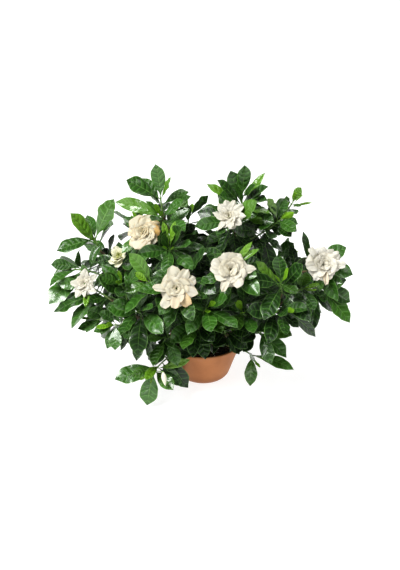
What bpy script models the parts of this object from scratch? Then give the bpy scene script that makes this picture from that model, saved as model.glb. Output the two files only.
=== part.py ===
"""A potted gardenia in bloom, modelled in metres with +Z up.

The origin is the middle of the pot's underside. Nine woody stems rise from the
potting soil and carry leafy shoots. Each shoot is one grown piece, a green twig with
its leaves in whorls of three, and some of the shoots end in a double flower.
"""

import math
import random
from dataclasses import dataclass

import bmesh
import bpy
from mathutils import Matrix, Vector
from mathutils.bvhtree import BVHTree

# The pot: a turned plastic pot with a rounded foot and a small rolled lip.
POT_HEIGHT = 0.079
POT_RIM_RADIUS = 0.0752
POT_BASE_RADIUS = 0.032
POT_FOOT_FILLET = 0.0237
POT_WALL = 0.0022
POT_LIP_HEIGHT = 0.005
POT_LIP_PROUD = 0.0014
POT_SEGMENTS = 48
FOOT_STEPS = 6
DRAIN_HOLES = 4
DRAIN_RADIUS = 0.0045
DRAIN_RING = 0.021

# The potting soil fills the pot nearly to its lip.
SOIL_BELOW_RIM = 0.0034
SOIL_MOUND = 0.0008
SOIL_SEGMENTS = 32

# What touches keeps this gap.
SEAT_GAP = 0.0003

# Woody stems.
ROOTED_DEPTH = 0.030
STEM_SIDES = 6
STEM_RING_STEP = 0.030
STEM_FOOT_RADIUS = 0.0042
STEM_TOP_RADIUS = 0.0023

# Green twigs, with a face on every second side of a whorl for a leaf.
TWIG_SIDES = 6
TWIG_FOOT_RADIUS = 0.0019
TWIG_TOP_RADIUS = 0.0014
TWIG_FOOT_CONE = 0.0045
TWIG_RING_STEP = 0.035
WHORL_LEAVES = 3
WHORL_HALF_HEIGHT = 0.0017
WHORL_BELOW_TIP = (0.0055, 0.0185, 0.0345, 0.0535)
WHORL_PITCH = (40.0, 62.0, 82.0, 96.0)

# Leaves: glossy, elliptic, pointed, with a short stalk.
LEAF_LENGTH = 0.076
LEAF_WIDTH_RATIOS = (0.44, 0.54)
LEAF_THICKNESS = 0.0013
LEAF_FOLD = 0.16
STALK_WIDTH = 0.0024
TEST_MARGIN = 0.0009
STALK_TESTED = 0.05
STALK_LEAVES = 0.13
PLACED_TRIES = 60
FILLING_TRIES = 26
TRY_SPREAD = 0.0014
TURN_COST = 0.1
LEAF_SAG = 0.16
LOWEST_LEAF = 0.004
LEAF_ARCH = (0.02, 0.13)
LEAF_ROLL = 26.0
PLACED_ROLL = 12.0
LIGHT_FRONT = Vector((0.0, -0.62, 0.78))
BACK_STARTS = 0.055
SEED = 20

# Double flowers: a narrow tube that opens into lobed layers of petals.
BLOOM_SPOKES = 12
BLOOM_LOBES = 6
BLOOM_LOBE_DEPTH = 0.20

GREEN = (0.022, 0.085, 0.018, 1.0)
TWIG_BROWN = (0.17, 0.12, 0.055, 1.0)
SOIL_BROWN = (0.035, 0.02, 0.012, 1.0)
TERRACOTTA = (0.46, 0.155, 0.07, 1.0)
CREAM_WHITE = (0.86, 0.83, 0.70, 1.0)


@dataclass(frozen=True)
class Bloom:
    """A flower at the end of a shoot: the middle of its petals, its facing and size."""

    name: str
    centre: tuple
    facing: tuple
    width: float
    height: float = 0.034

    def foot(self):
        """Return the point where the flower's tube starts."""
        facing = Vector(self.facing).normalized()
        return Vector(self.centre) - facing * self.height * 0.62


@dataclass(frozen=True)
class Shoot:
    """A leafy shoot: its stem, how far up that stem it starts, its tip and its leaves.

    A placed leaf gives its tip, and may add its width as a share of its length. The top
    whorl's leaves are smaller by the share in top.
    """

    name: str
    stem: str
    along: float
    tip: tuple = None
    whorls: int = 2
    leaf: float = LEAF_LENGTH
    top: float = 0.88
    placed: tuple = ()
    aim: tuple = None
    bloom: Bloom = None


# The way of each woody stem, from its rooted foot to its end.
STEMS = {
    "stem_left": ((-0.019, 0.001), (-0.040, 0.000, 0.120), (-0.100, 0.004, 0.190),
                  (-0.165, 0.006, 0.240), (-0.200, 0.010, 0.268)),
    "stem_left_front": ((-0.015, -0.013), (-0.038, -0.034, 0.105), (-0.085, -0.070, 0.145),
                        (-0.130, -0.085, 0.175), (-0.165, -0.085, 0.200)),
    "stem_front": ((-0.001, -0.020), (-0.003, -0.045, 0.110), (-0.012, -0.080, 0.160),
                   (-0.020, -0.105, 0.210), (-0.030, -0.115, 0.245)),
    "stem_right_front": ((0.015, -0.013), (0.040, -0.034, 0.105), (0.085, -0.065, 0.145),
                         (0.125, -0.085, 0.185), (0.145, -0.095, 0.215)),
    "stem_right": ((0.019, 0.001), (0.040, 0.002, 0.120), (0.100, 0.004, 0.180),
                   (0.160, -0.006, 0.222), (0.195, -0.020, 0.240)),
    "stem_back_right": ((0.012, 0.015), (0.030, 0.045, 0.120), (0.065, 0.085, 0.185),
                        (0.100, 0.110, 0.230), (0.120, 0.115, 0.255)),
    "stem_back_left": ((-0.012, 0.015), (-0.030, 0.045, 0.120), (-0.065, 0.085, 0.185),
                       (-0.100, 0.110, 0.230), (-0.120, 0.115, 0.255)),
    "stem_upper_left": ((-0.006, 0.001), (-0.016, 0.002, 0.150), (-0.038, 0.004, 0.230),
                        (-0.060, 0.000, 0.300), (-0.075, -0.008, 0.345)),
    "stem_upper_right": ((0.008, 0.002), (0.018, 0.004, 0.150), (0.040, 0.004, 0.230),
                         (0.060, 0.000, 0.300), (0.072, -0.008, 0.350)),
}

SHOOTS = (
    # The left side.
    Shoot("shoot_left_top", "stem_left", 1.0, (-0.217, 0.020, 0.298), 3, 0.074,
          placed=((-0.260, 0.010, 0.352, 0.36), (-0.175, 0.030, 0.374), (-0.185, -0.010, 0.355),
                  (-0.289, 0.000, 0.276))),
    Shoot("shoot_left_edge", "stem_left", 0.74, (-0.255, -0.030, 0.250), 3, 0.070,
          placed=((-0.299, -0.080, 0.198), (-0.297, -0.035, 0.262))),
    Shoot("shoot_left_bloom", "stem_left_front", 1.0, whorls=3, leaf=0.074,
          placed=((-0.289, -0.090, 0.186), (-0.252, -0.120, 0.165)),
          bloom=Bloom("flower_left", (-0.230, -0.090, 0.247), (-0.25, -0.80, 0.50), 0.062)),
    Shoot("shoot_left_low", "stem_left_front", 0.80, (-0.208, -0.090, 0.169), 3, 0.070,
          placed=((-0.254, -0.100, 0.152), (-0.215, -0.110, 0.120)),
          aim=(-0.8, -0.3, -0.1)),
    Shoot("shoot_left_hanging", "stem_left_front", 0.62, (-0.172, -0.118, 0.172), 3, 0.070,
          placed=((-0.185, -0.130, 0.127), (-0.169, -0.150, 0.119)),
          aim=(-0.6, -0.6, 0.2)),
    Shoot("shoot_front_left_glossy", "stem_left_front", 0.72, (-0.125, -0.150, 0.217), 3, 0.080,
          placed=((-0.124, -0.175, 0.135), (-0.178, -0.160, 0.225)),
          aim=(-0.2, -0.8, 0.5)),
    Shoot("shoot_left_middle", "stem_left_front", 0.90, (-0.155, -0.125, 0.262), 3, 0.070,
          placed=((-0.195, -0.150, 0.285),),
          aim=(-0.3, -0.5, 0.7)),
    Shoot("shoot_bud", "stem_left", 0.60, whorls=2, leaf=0.064,
          bloom=Bloom("flower_bud", (-0.162, -0.060, 0.290), (-0.20, -0.65, 0.72), 0.036, 0.036)),
    # The upper left, round the oldest flower.
    Shoot("shoot_upper_left_bloom", "stem_upper_left", 0.88, whorls=3, leaf=0.074,
          bloom=Bloom("flower_upper_left", (-0.114, -0.070, 0.346), (-0.12, -0.82, 0.55), 0.074)),
    Shoot("shoot_top_left", "stem_upper_left", 1.0, (-0.083, -0.005, 0.392), 3, 0.068,
          placed=((-0.092, 0.010, 0.452), (-0.147, -0.020, 0.430), (-0.124, 0.020, 0.420),
                  (-0.062, -0.020, 0.436), (-0.024, -0.020, 0.398)), aim=(-0.1, -0.1, 1.0)),
    Shoot("shoot_upper_left", "stem_upper_left", 0.94, (-0.080, -0.050, 0.368), 3, 0.074,
          placed=((-0.170, -0.010, 0.382), (-0.037, -0.075, 0.405), (-0.026, -0.030, 0.374)),
          aim=(-0.2, -0.6, 0.7)),
    Shoot("shoot_centre_left", "stem_upper_left", 0.80, (-0.064, -0.100, 0.322), 3, 0.070,
          placed=((-0.040, -0.120, 0.372), (-0.081, -0.120, 0.357)), aim=(0.0, -0.7, 0.6)),
    # The front.
    Shoot("shoot_centre", "stem_front", 1.0, (-0.035, -0.125, 0.300), 3, 0.074,
          placed=((0.005, -0.135, 0.335),), aim=(-0.1, -0.4, 0.9)),
    Shoot("shoot_front_bloom", "stem_front", 0.92, whorls=3, leaf=0.076,
          bloom=Bloom("flower_front_left", (-0.050, -0.180, 0.277), (-0.05, -0.88, 0.45), 0.088)),
    Shoot("shoot_front_left", "stem_front", 0.86, (-0.100, -0.145, 0.272), 3, 0.074,
          placed=((-0.138, -0.130, 0.325),), aim=(-0.5, -0.5, 0.6)),
    Shoot("shoot_front_low", "stem_front", 0.70, (0.006, -0.155, 0.225), 3, 0.078,
          placed=((0.034, -0.190, 0.190), (-0.030, -0.185, 0.185)), aim=(0.1, -0.8, 0.4)),
    Shoot("shoot_front_centre", "stem_front", 0.52, (-0.014, -0.130, 0.176), 3, 0.074,
          placed=((-0.062, -0.160, 0.155), (-0.020, -0.150, 0.118), (0.020, -0.165, 0.160)),
          aim=(-0.1, -0.8, 0.4)),
    Shoot("shoot_front_inner", "stem_left_front", 0.45, (-0.075, -0.120, 0.140), 3, 0.066,
          placed=((-0.094, -0.130, 0.090), (-0.050, -0.135, 0.092)), aim=(-0.2, -0.8, 0.0)),
    Shoot("shoot_trailing_left", "stem_left_front", 0.25, (-0.098, -0.128, 0.074), 2, 0.062,
          placed=((-0.172, -0.132, 0.061), (-0.110, -0.142, 0.009, 0.60),
                  (-0.110, -0.178, 0.084, 0.40), (-0.058, -0.165, 0.056),
                  (-0.040, -0.135, 0.048, 0.34)),
          aim=(-0.4, -0.8, -0.2)),
    # The middle and right of the front.
    Shoot("shoot_middle_bloom", "stem_upper_right", 0.62, whorls=3, leaf=0.076,
          bloom=Bloom("flower_front_right", (0.050, -0.155, 0.304), (0.02, -0.86, 0.50), 0.088)),
    Shoot("shoot_upper_bloom", "stem_upper_right", 0.88, whorls=3, leaf=0.070,
          placed=((0.100, -0.075, 0.408),),
          bloom=Bloom("flower_top", (0.048, -0.070, 0.378), (-0.05, -0.75, 0.65), 0.070)),
    Shoot("shoot_top_right", "stem_upper_right", 1.0, (0.074, -0.006, 0.396), 3, 0.066,
          placed=((0.078, -0.010, 0.457), (0.040, -0.010, 0.437), (0.003, 0.000, 0.411),
                  (0.118, 0.000, 0.438), (0.122, -0.025, 0.400)),
          aim=(0.0, -0.1, 1.0)),
    Shoot("shoot_upper_right", "stem_upper_right", 0.80, (0.148, -0.020, 0.350), 4, 0.074,
          placed=((0.188, -0.060, 0.310), (0.122, -0.080, 0.335), (0.112, -0.030, 0.385),
                  (0.208, -0.030, 0.335)), aim=(0.6, -0.3, 0.7)),
    Shoot("shoot_tuft_right", "stem_back_right", 1.0, (0.174, 0.012, 0.374), 2, 0.060,
          top=0.5, placed=((0.188, 0.010, 0.400), (0.213, 0.018, 0.371, 0.22)),
          aim=(0.5, -0.2, 1.0)),
    Shoot("shoot_right_bloom", "stem_right", 1.0, whorls=3, leaf=0.070,
          placed=((0.193, -0.020, 0.326), (0.279, -0.020, 0.292), (0.290, -0.050, 0.247)),
          bloom=Bloom("flower_right", (0.231, -0.070, 0.278), (0.25, -0.85, 0.45), 0.084)),
    Shoot("shoot_right_edge", "stem_right", 0.86, (0.232, -0.060, 0.222), 3, 0.078,
          placed=((0.284, -0.090, 0.163), (0.259, -0.040, 0.162), (0.209, -0.110, 0.153)),
          aim=(0.7, -0.5, 0.2)),
    Shoot("shoot_right_middle", "stem_right_front", 1.0, (0.145, -0.125, 0.264), 3, 0.072,
          placed=((0.138, -0.120, 0.318), (0.184, -0.135, 0.305), (0.088, -0.150, 0.278),
                  (0.097, -0.120, 0.306)), aim=(0.1, -0.5, 0.8)),
    Shoot("shoot_right_front", "stem_right_front", 0.84, (0.148, -0.140, 0.212), 3, 0.076,
          placed=((0.080, -0.165, 0.225), (0.196, -0.150, 0.165), (0.120, -0.175, 0.160)),
          aim=(0.2, -0.8, 0.3)),
    Shoot("shoot_right_inner", "stem_right_front", 0.94, (0.190, -0.100, 0.240), 3, 0.070,
          aim=(0.6, -0.6, 0.4)),
    Shoot("shoot_right_low", "stem_right_front", 0.50, (0.114, -0.105, 0.150), 3, 0.074,
          placed=((0.160, -0.120, 0.102), (0.076, -0.140, 0.125)), aim=(0.5, -0.7, 0.0)),
    Shoot("shoot_trailing_right", "stem_right_front", 0.25, (0.098, -0.100, 0.094), 1, 0.066,
          placed=((0.176, -0.120, 0.076, 0.38), (0.091, -0.130, 0.045, 0.38)),
          aim=(0.5, -0.8, -0.2)),
    Shoot("shoot_front_right_low", "stem_right_front", 0.36, (0.045, -0.115, 0.162), 3, 0.070,
          placed=((0.085, -0.150, 0.160), (0.022, -0.150, 0.140), (0.060, -0.165, 0.190)),
          aim=(0.1, -0.7, 0.6)),
    Shoot("shoot_front_right_inner", "stem_right_front", 0.66, (0.075, -0.120, 0.200), 3, 0.074,
          aim=(-0.1, -0.7, 0.6)),
    # The back.
    Shoot("shoot_back_left_high", "stem_back_left", 1.0, (-0.135, 0.130, 0.282), 3, 0.076,
          aim=(-0.4, 0.5, 0.8)),
    Shoot("shoot_back_left_low", "stem_back_left", 0.62, (-0.165, 0.130, 0.190), 3, 0.078,
          aim=(-0.7, 0.6, 0.2)),
    Shoot("shoot_back_left_outer", "stem_left", 0.66, (-0.205, 0.085, 0.225), 3, 0.076,
          aim=(-0.7, 0.5, 0.4)),
    Shoot("shoot_back_high", "stem_upper_left", 0.70, (-0.030, 0.105, 0.312), 3, 0.076,
          aim=(0.0, 0.6, 0.8)),
    Shoot("shoot_back_low", "stem_back_left", 0.48, (-0.040, 0.175, 0.200), 3, 0.080,
          aim=(0.0, 0.9, 0.3)),
    Shoot("shoot_back_right_high", "stem_upper_right", 0.66, (0.055, 0.110, 0.310), 3, 0.076,
          aim=(0.2, 0.6, 0.8)),
    Shoot("shoot_back_right_low", "stem_back_right", 0.50, (0.075, 0.170, 0.190), 3, 0.080,
          aim=(0.3, 0.9, 0.3)),
    Shoot("shoot_back_right_outer", "stem_back_right", 0.70, (0.165, 0.125, 0.215), 3, 0.078,
          aim=(0.7, 0.6, 0.3)),
    Shoot("shoot_back_right_side", "stem_right", 0.62, (0.215, 0.060, 0.195), 3, 0.076,
          aim=(0.8, 0.4, 0.2)),
)


def clear_scene():
    """Remove every object of the opening scene."""
    for obj in list(bpy.data.objects):
        bpy.data.objects.remove(obj)


def make_material(name, color, roughness, metallic=0.0):
    """Return a Principled material."""
    material = bpy.data.materials.new(name)
    material.use_nodes = True
    shader = material.node_tree.nodes["Principled BSDF"]
    shader.inputs["Base Color"].default_value = color
    shader.inputs["Roughness"].default_value = roughness
    shader.inputs["Metallic"].default_value = metallic
    return material


def make_object(name, bm, material):
    """Close a bmesh into a named object of triangles."""
    bmesh.ops.triangulate(bm, faces=bm.faces)
    mesh = bpy.data.meshes.new(name)
    bm.to_mesh(mesh)
    bm.free()
    mesh.materials.append(material)
    obj = bpy.data.objects.new(name, mesh)
    bpy.context.scene.collection.objects.link(obj)
    return obj


def turned(profile, segments):
    """Turn an outline of (radius, height) points about Z, from the axis back to the axis."""
    bm = bmesh.new()
    verts = [bm.verts.new((radius, 0.0, height)) for radius, height in profile]
    edges = [bm.edges.new(pair) for pair in zip(verts, verts[1:])]
    bmesh.ops.spin(bm, geom=verts + edges, cent=(0.0, 0.0, 0.0), axis=(0.0, 0.0, 1.0),
                   angle=math.tau, steps=segments, use_merge=True)
    bmesh.ops.remove_doubles(bm, verts=bm.verts, dist=1e-6)
    bmesh.ops.recalc_face_normals(bm, faces=bm.faces)
    return bm


def foot_outline(base_radius, fillet, lift, rim_radius, rim_height):
    """Return the outline from the flat foot up a rounded corner and a straight wall.

    The wall is the tangent from the rim to the corner's arc.
    """
    centre = Vector((base_radius, lift + fillet))
    to_rim = Vector((rim_radius, rim_height)) - centre
    end = math.atan2(to_rim.y, to_rim.x) - math.acos(fillet / to_rim.length)
    start = -math.pi / 2
    outline = []
    for step in range(FOOT_STEPS + 1):
        angle = start + (end - start) * step / FOOT_STEPS
        outline.append((centre.x + fillet * math.cos(angle), centre.y + fillet * math.sin(angle)))
    outline.append((rim_radius, rim_height))
    return outline


def build_pot(material):
    """Build the pot: a turned shell with a rolled lip and drainage holes in its foot."""
    outer = foot_outline(POT_BASE_RADIUS, POT_FOOT_FILLET, 0.0,
                         POT_RIM_RADIUS, POT_HEIGHT - POT_LIP_HEIGHT)
    inner = foot_outline(POT_BASE_RADIUS, POT_FOOT_FILLET - POT_WALL, POT_WALL,
                         POT_RIM_RADIUS - POT_WALL, POT_HEIGHT)
    lip_radius = POT_RIM_RADIUS + POT_LIP_PROUD
    roll = POT_LIP_PROUD
    lip = [(lip_radius, POT_HEIGHT - POT_LIP_HEIGHT + roll), (lip_radius, POT_HEIGHT - roll),
           (lip_radius - roll, POT_HEIGHT)]
    profile = [(0.0, 0.0)] + outer + lip + inner[::-1] + [(0.0, POT_WALL)]
    pot = make_object("pot", turned(profile, POT_SEGMENTS), material)
    for index in range(DRAIN_HOLES):
        angle = math.tau * (index + 0.5) / DRAIN_HOLES
        bm = bmesh.new()
        place = Matrix.Translation((DRAIN_RING * math.cos(angle), DRAIN_RING * math.sin(angle), 0.0))
        bmesh.ops.create_cone(bm, cap_ends=True, segments=12, radius1=DRAIN_RADIUS,
                              radius2=DRAIN_RADIUS, depth=POT_WALL * 4, matrix=place)
        cut(pot, make_object(f"drain_cutter_{index + 1}", bm, material))
    pot.data.shade_smooth()
    pot.data.set_sharp_from_angle(angle=math.radians(35))
    return pot


def cut(obj, cutter):
    """Subtract a hidden cutter from an object."""
    cutter.hide_render = True
    cutter.display_type = "WIRE"
    modifier = obj.modifiers.new(cutter.name, "BOOLEAN")
    modifier.operation = "DIFFERENCE"
    modifier.object = cutter


def build_soil(material, stems):
    """Build the potting soil, a turned filling with a socket round each stem."""
    clear = POT_WALL + SEAT_GAP
    top = POT_HEIGHT - SOIL_BELOW_RIM
    walls = foot_outline(POT_BASE_RADIUS, POT_FOOT_FILLET - clear, clear,
                         POT_RIM_RADIUS - clear, POT_HEIGHT)
    (low_radius, low_height), (high_radius, high_height) = walls[-2:]
    share = (top - low_height) / (high_height - low_height)
    edge = low_radius + (high_radius - low_radius) * share
    profile = [(0.0, clear)] + walls[:-1] + [(edge, top)]
    profile += [(edge * 0.6, top + SOIL_MOUND), (0.0, top + SOIL_MOUND)]
    soil = make_object("potting_soil", turned(profile, SOIL_SEGMENTS), material)
    for name, path in stems.items():
        cut(soil, make_object(f"socket_{name}", stem_tube(path, SEAT_GAP), material))
    return soil


class Path:
    """A smooth way through points, measured along its length, with a tapering radius."""

    def __init__(self, points, foot_radius, top_radius, step=0.004):
        """Sample a curve through the points every few millimetres."""
        points = [Vector(point) for point in points]
        guides = [points[0] * 2 - points[1]] + points + [points[-1] * 2 - points[-2]]
        self.samples = [points[0]]
        for before, start, end, after in zip(guides, guides[1:], guides[2:], guides[3:]):
            count = max(2, int((end - start).length / step))
            for index in range(1, count + 1):
                share = index / count
                bend = (start * 2 + (end - before) * share
                        + (before * 2 - start * 5 + end * 4 - after) * share ** 2
                        + (start * 3 - before - end * 3 + after) * share ** 3)
                self.samples.append(bend * 0.5)
        self.reaches = [0.0]
        for start, end in zip(self.samples, self.samples[1:]):
            self.reaches.append(self.reaches[-1] + (end - start).length)
        self.length = self.reaches[-1]
        self.foot_radius = foot_radius
        self.top_radius = top_radius

    def point(self, reach):
        """Return the point at a distance along the way."""
        reach = min(max(reach, 0.0), self.length)
        for index in range(1, len(self.reaches)):
            if self.reaches[index] >= reach:
                span = self.reaches[index] - self.reaches[index - 1]
                share = (reach - self.reaches[index - 1]) / span
                return self.samples[index - 1].lerp(self.samples[index], share)
        return self.samples[-1].copy()

    def tangent(self, reach):
        """Return the direction of the way at a distance along it."""
        reach = min(max(reach, 0.002), self.length - 0.002)
        return (self.point(reach + 0.002) - self.point(reach - 0.002)).normalized()

    def radius(self, reach):
        """Return the radius at a distance along the way."""
        share = min(max(reach / self.length, 0.0), 1.0)
        return self.foot_radius + (self.top_radius - self.foot_radius) * share


def tube(bm, points, radii, sides, pointed=False):
    """Build a closed tube of rings and return its side faces, ring by ring.

    A pointed tube starts in a cone's tip and ends in a low point.
    """
    ring_points = points[1:-1] if pointed else points
    ring_radii = radii[1:-1] if pointed else radii
    heading = (ring_points[1] - ring_points[0]).normalized()
    across = heading.orthogonal().normalized()
    rings = []
    for index, centre in enumerate(ring_points):
        before = ring_points[max(index - 1, 0)]
        after = ring_points[min(index + 1, len(ring_points) - 1)]
        turned_heading = (after - before).normalized()
        across = heading.rotation_difference(turned_heading) @ across
        heading = turned_heading
        along = heading.cross(across)
        ring = []
        for side in range(sides):
            angle = math.tau * side / sides
            offset = across * math.cos(angle) + along * math.sin(angle)
            ring.append(bm.verts.new(centre + offset * ring_radii[index]))
        rings.append(ring)
    bands = []
    for low, high in zip(rings, rings[1:]):
        band = []
        for side in range(sides):
            after = (side + 1) % sides
            band.append(bm.faces.new((low[side], low[after], high[after], high[side])))
        bands.append(band)
    if pointed:
        foot, top = bm.verts.new(points[0]), bm.verts.new(points[-1])
        for side in range(sides):
            after = (side + 1) % sides
            bm.faces.new((foot, rings[0][after], rings[0][side]))
            bm.faces.new((top, rings[-1][side], rings[-1][after]))
    else:
        bm.faces.new(rings[0][::-1])
        bm.faces.new(rings[-1])
    return bands


def stem_tube(path, margin=0.0):
    """Build a woody stem, or a socket for it that is wider and deeper by a margin."""
    count = int(path.length / STEM_RING_STEP) + 1
    reaches = [path.length * index / count for index in range(count + 1)]
    points = [path.point(reach) for reach in reaches]
    points[0].z -= margin
    across_corners = margin / math.cos(math.pi / STEM_SIDES)
    bm = bmesh.new()
    tube(bm, points, [path.radius(reach) + across_corners for reach in reaches], STEM_SIDES)
    return bm


class Clearance:
    """Everything placed so far, so that the next piece can be tested against it."""

    def __init__(self):
        """Start with nothing placed."""
        self.placed = []

    def add(self, owner, part, verts, faces):
        """Remember a closed shape of an owner."""
        low = [min(vert[axis] for vert in verts) for axis in range(3)]
        high = [max(vert[axis] for vert in verts) for axis in range(3)]
        tree = BVHTree.FromPolygons([tuple(vert) for vert in verts], faces)
        self.placed.append((owner, part, low, high, tree))

    def add_mesh(self, owner, part, bm):
        """Remember a bmesh as a shape of an owner."""
        bm.verts.index_update()
        verts = [vert.co.copy() for vert in bm.verts]
        faces = [[vert.index for vert in face.verts] for face in bm.faces]
        self.add(owner, part, verts, faces)

    def tree(self, owner, part):
        """Return the search tree of one placed shape."""
        for placed_owner, placed_part, _, _, tree in self.placed:
            if (placed_owner, placed_part) == (owner, part):
                return tree
        raise KeyError((owner, part))

    def hit(self, verts, faces, skip=()):
        """Say which placed shape the given one crosses, or None."""
        low = [min(vert[axis] for vert in verts) for axis in range(3)]
        high = [max(vert[axis] for vert in verts) for axis in range(3)]
        tree = None
        for owner, part, other_low, other_high, other in self.placed:
            if (owner, part) in skip or owner in skip:
                continue
            if any(low[axis] > other_high[axis] or high[axis] < other_low[axis] for axis in range(3)):
                continue
            if tree is None:
                tree = BVHTree.FromPolygons([tuple(vert) for vert in verts], faces)
            if tree.overlap(other):
                return owner
        return None


@dataclass
class Leaf:
    """A leaf's midrib as three points of a bend, its upper side's facing, and its width."""

    start: Vector
    bend: Vector
    tip: Vector
    up: Vector
    width: float

    # Where its sections lie along the midrib, and their share of the full width.
    SECTIONS = ((0.14, 0.0), (0.45, 1.0), (0.78, 0.72))

    def midrib(self, share):
        """Return the point and the direction of the midrib at a share of its length."""
        rest = 1.0 - share
        point = self.start * rest ** 2 + self.bend * 2 * rest * share + self.tip * share ** 2
        heading = (self.bend - self.start) * rest + (self.tip - self.bend) * share
        return point, heading.normalized()

    def sections(self, margin=0.0):
        """Return the four corners of each section, turning one way, and the tip."""
        loops = []
        for share, width_share in self.SECTIONS:
            point, heading = self.midrib(share)
            side = heading.cross(self.up).normalized()
            top = side.cross(heading)
            half = max(self.width * width_share, STALK_WIDTH) / 2 + margin
            rise = top * LEAF_FOLD * (half if width_share else 0.0)
            thick = top * (LEAF_THICKNESS / 2 + margin)
            loops.append([point - side * half + rise, point + thick,
                          point + side * half + rise, point - thick])
        end, heading = self.midrib(1.0)
        return loops, end + heading * margin

    def shape(self, margin=0.0, blade_only=False):
        """Return the leaf as points and faces, for tests against other pieces."""
        loops, tip = self.sections(margin)
        start = self.midrib(STALK_TESTED)[0] if blade_only else self.start
        side = (self.tip - self.start).cross(self.up).normalized() * STALK_WIDTH / 2
        top = self.up.normalized() * STALK_WIDTH / 2
        loops.insert(0, [start - side, start + top, start + side, start - top])
        verts = [corner for loop in loops for corner in loop] + [tip]
        faces = [(3, 2, 1, 0)]
        for index in range(len(loops) - 1):
            low, high = index * 4, index * 4 + 4
            for corner in range(4):
                after = (corner + 1) % 4
                faces.append((low + corner, low + after, high + after, high + corner))
        last = (len(loops) - 1) * 4
        for corner in range(4):
            faces.append((last + corner, last + (corner + 1) % 4, len(verts) - 1))
        return verts, faces

    def lowest(self):
        """Return the lowest height of the leaf."""
        return min(vert.z for vert in self.shape()[0])

    def grow(self, bm, face):
        """Extrude the leaf from a face of its twig."""
        loops, tip = self.sections()
        for loop in loops:
            face = bmesh.ops.extrude_discrete_faces(bm, faces=[face])["faces"][0]
            corners = list(face.verts)
            turn = min(range(4), key=lambda shift: sum(
                (corners[index].co - loop[(index + shift) % 4]).length_squared for index in range(4)))
            for index, corner in enumerate(corners):
                corner.co = loop[(index + turn) % 4]
        centre = bmesh.ops.poke(bm, faces=[face])["verts"][0]
        centre.co = tip


class Twig:
    """The green twig of a shoot: its way, its rings and the slots for its leaves."""

    def __init__(self, shoot, stems, clearance):
        """Lay the twig from its stem to its tip or its flower."""
        self.shoot = shoot
        stem = stems[shoot.stem]
        reach = stem.length * shoot.along
        tip = shoot.bloom.foot() if shoot.bloom else Vector(shoot.tip)
        root, tangent = stem.point(reach), stem.tangent(reach)
        if shoot.along >= 1.0:
            foot, heading = root + tangent * SEAT_GAP, tangent
        else:
            away = tip - root
            away = (away - tangent * away.dot(tangent)).normalized()
            surface = clearance.tree(shoot.stem, "wood").ray_cast(root + away * 0.03, -away)[0]
            foot = surface + away * SEAT_GAP
            heading = (away * 0.85 + tangent * 0.6).normalized()
        if shoot.bloom:
            aim = Vector(shoot.bloom.facing).normalized()
            tip = tip - aim * SEAT_GAP
        elif shoot.aim:
            aim = Vector(shoot.aim).normalized()
        else:
            aim = ((tip - foot).normalized() + heading * 0.5).normalized()
        span = (tip - foot).length
        first, last = foot + heading * span * 0.36, tip - aim * span * 0.36
        points = [foot, foot + heading * TWIG_FOOT_CONE]
        for share in (0.2, 0.4, 0.6, 0.8):
            rest = 1.0 - share
            points.append(foot * rest ** 3 + first * 3 * rest ** 2 * share
                          + last * 3 * rest * share ** 2 + tip * share ** 3)
        self.path = Path(points + [tip], TWIG_FOOT_RADIUS, TWIG_TOP_RADIUS)
        self.whorls = [below for below in WHORL_BELOW_TIP[:shoot.whorls]
                       if below < self.path.length - TWIG_FOOT_CONE * 2.2]

    def build(self, bm):
        """Build the twig and return its leaf slots as (whorl, face, twig's direction)."""
        length = self.path.length
        marks = []
        for whorl, below in enumerate(self.whorls):
            marks.append((length - below - WHORL_HALF_HEIGHT, whorl))
            marks.append((length - below + WHORL_HALF_HEIGHT, None))
        marks.append((TWIG_FOOT_CONE, None))
        lowest = min(reach for reach, _ in marks[:-1])
        spans = int((lowest - TWIG_FOOT_CONE) / TWIG_RING_STEP) + 1
        for index in range(1, spans):
            marks.append((TWIG_FOOT_CONE + (lowest - TWIG_FOOT_CONE) * index / spans, None))
        marks.sort(key=lambda mark: mark[0])
        reaches = [0.0] + [reach for reach, _ in marks] + [length]
        points = [self.path.point(reach) for reach in reaches]
        radii = [self.path.radius(reach) for reach in reaches]
        bands = tube(bm, points, radii, TWIG_SIDES, pointed=True)
        bm.normal_update()
        slots = []
        for band, (reach, whorl) in zip(bands, marks):
            if whorl is None:
                continue
            axis = self.path.tangent(reach + WHORL_HALF_HEIGHT)
            for leaf in range(WHORL_LEAVES):
                side = (leaf * 2 + whorl) % TWIG_SIDES
                slots.append((whorl, band[side], axis))
        return slots


def lay_leaf(start, tip, axis, outward, rng, ratio=None, roll=LEAF_ROLL):
    """Lay a leaf from its slot to its tip.

    It leaves along its slot's way, arches over, and turns its upper side to the light.
    """
    away = tip - start
    length = away.length
    away.normalize()
    heading = (away * 1.2 + axis * 0.25 + outward * 0.35).normalized()
    arch = rng.uniform(*LEAF_ARCH) * length
    bend = start + heading * length * 0.48 + Vector((0.0, 0.0, arch))
    if start.y < BACK_STARTS:
        light = LIGHT_FRONT.copy()
    else:
        light = Vector((start.x, start.y, 0.0)).normalized() * 0.7 + Vector((0.0, 0.0, 0.8))
    up = axis * 0.45 + light
    up -= away * up.dot(away)
    if up.length < 0.2:
        up = outward.cross(away) + Vector((0.0, 0.0, 0.3))
    turn = Matrix.Rotation(math.radians(rng.uniform(-roll, roll)), 3, away)
    width = length * (ratio or rng.uniform(*LEAF_WIDTH_RATIOS))
    return Leaf(start, bend, tip, turn @ up.normalized(), width)


def fits(leaf, owner, clearance):
    """Say whether a leaf stays clear of everything placed, and of its own twig and leaves."""
    if leaf.lowest() < LOWEST_LEAF:
        return False
    verts, faces = leaf.shape(TEST_MARGIN)
    if clearance.hit(verts, faces, skip=(owner,)):
        return False
    verts, faces = leaf.shape(TEST_MARGIN, blade_only=True)
    others = {placed_owner for placed_owner, *_ in clearance.placed if placed_owner != owner}
    return clearance.hit(verts, faces, skip=others) is None


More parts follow.
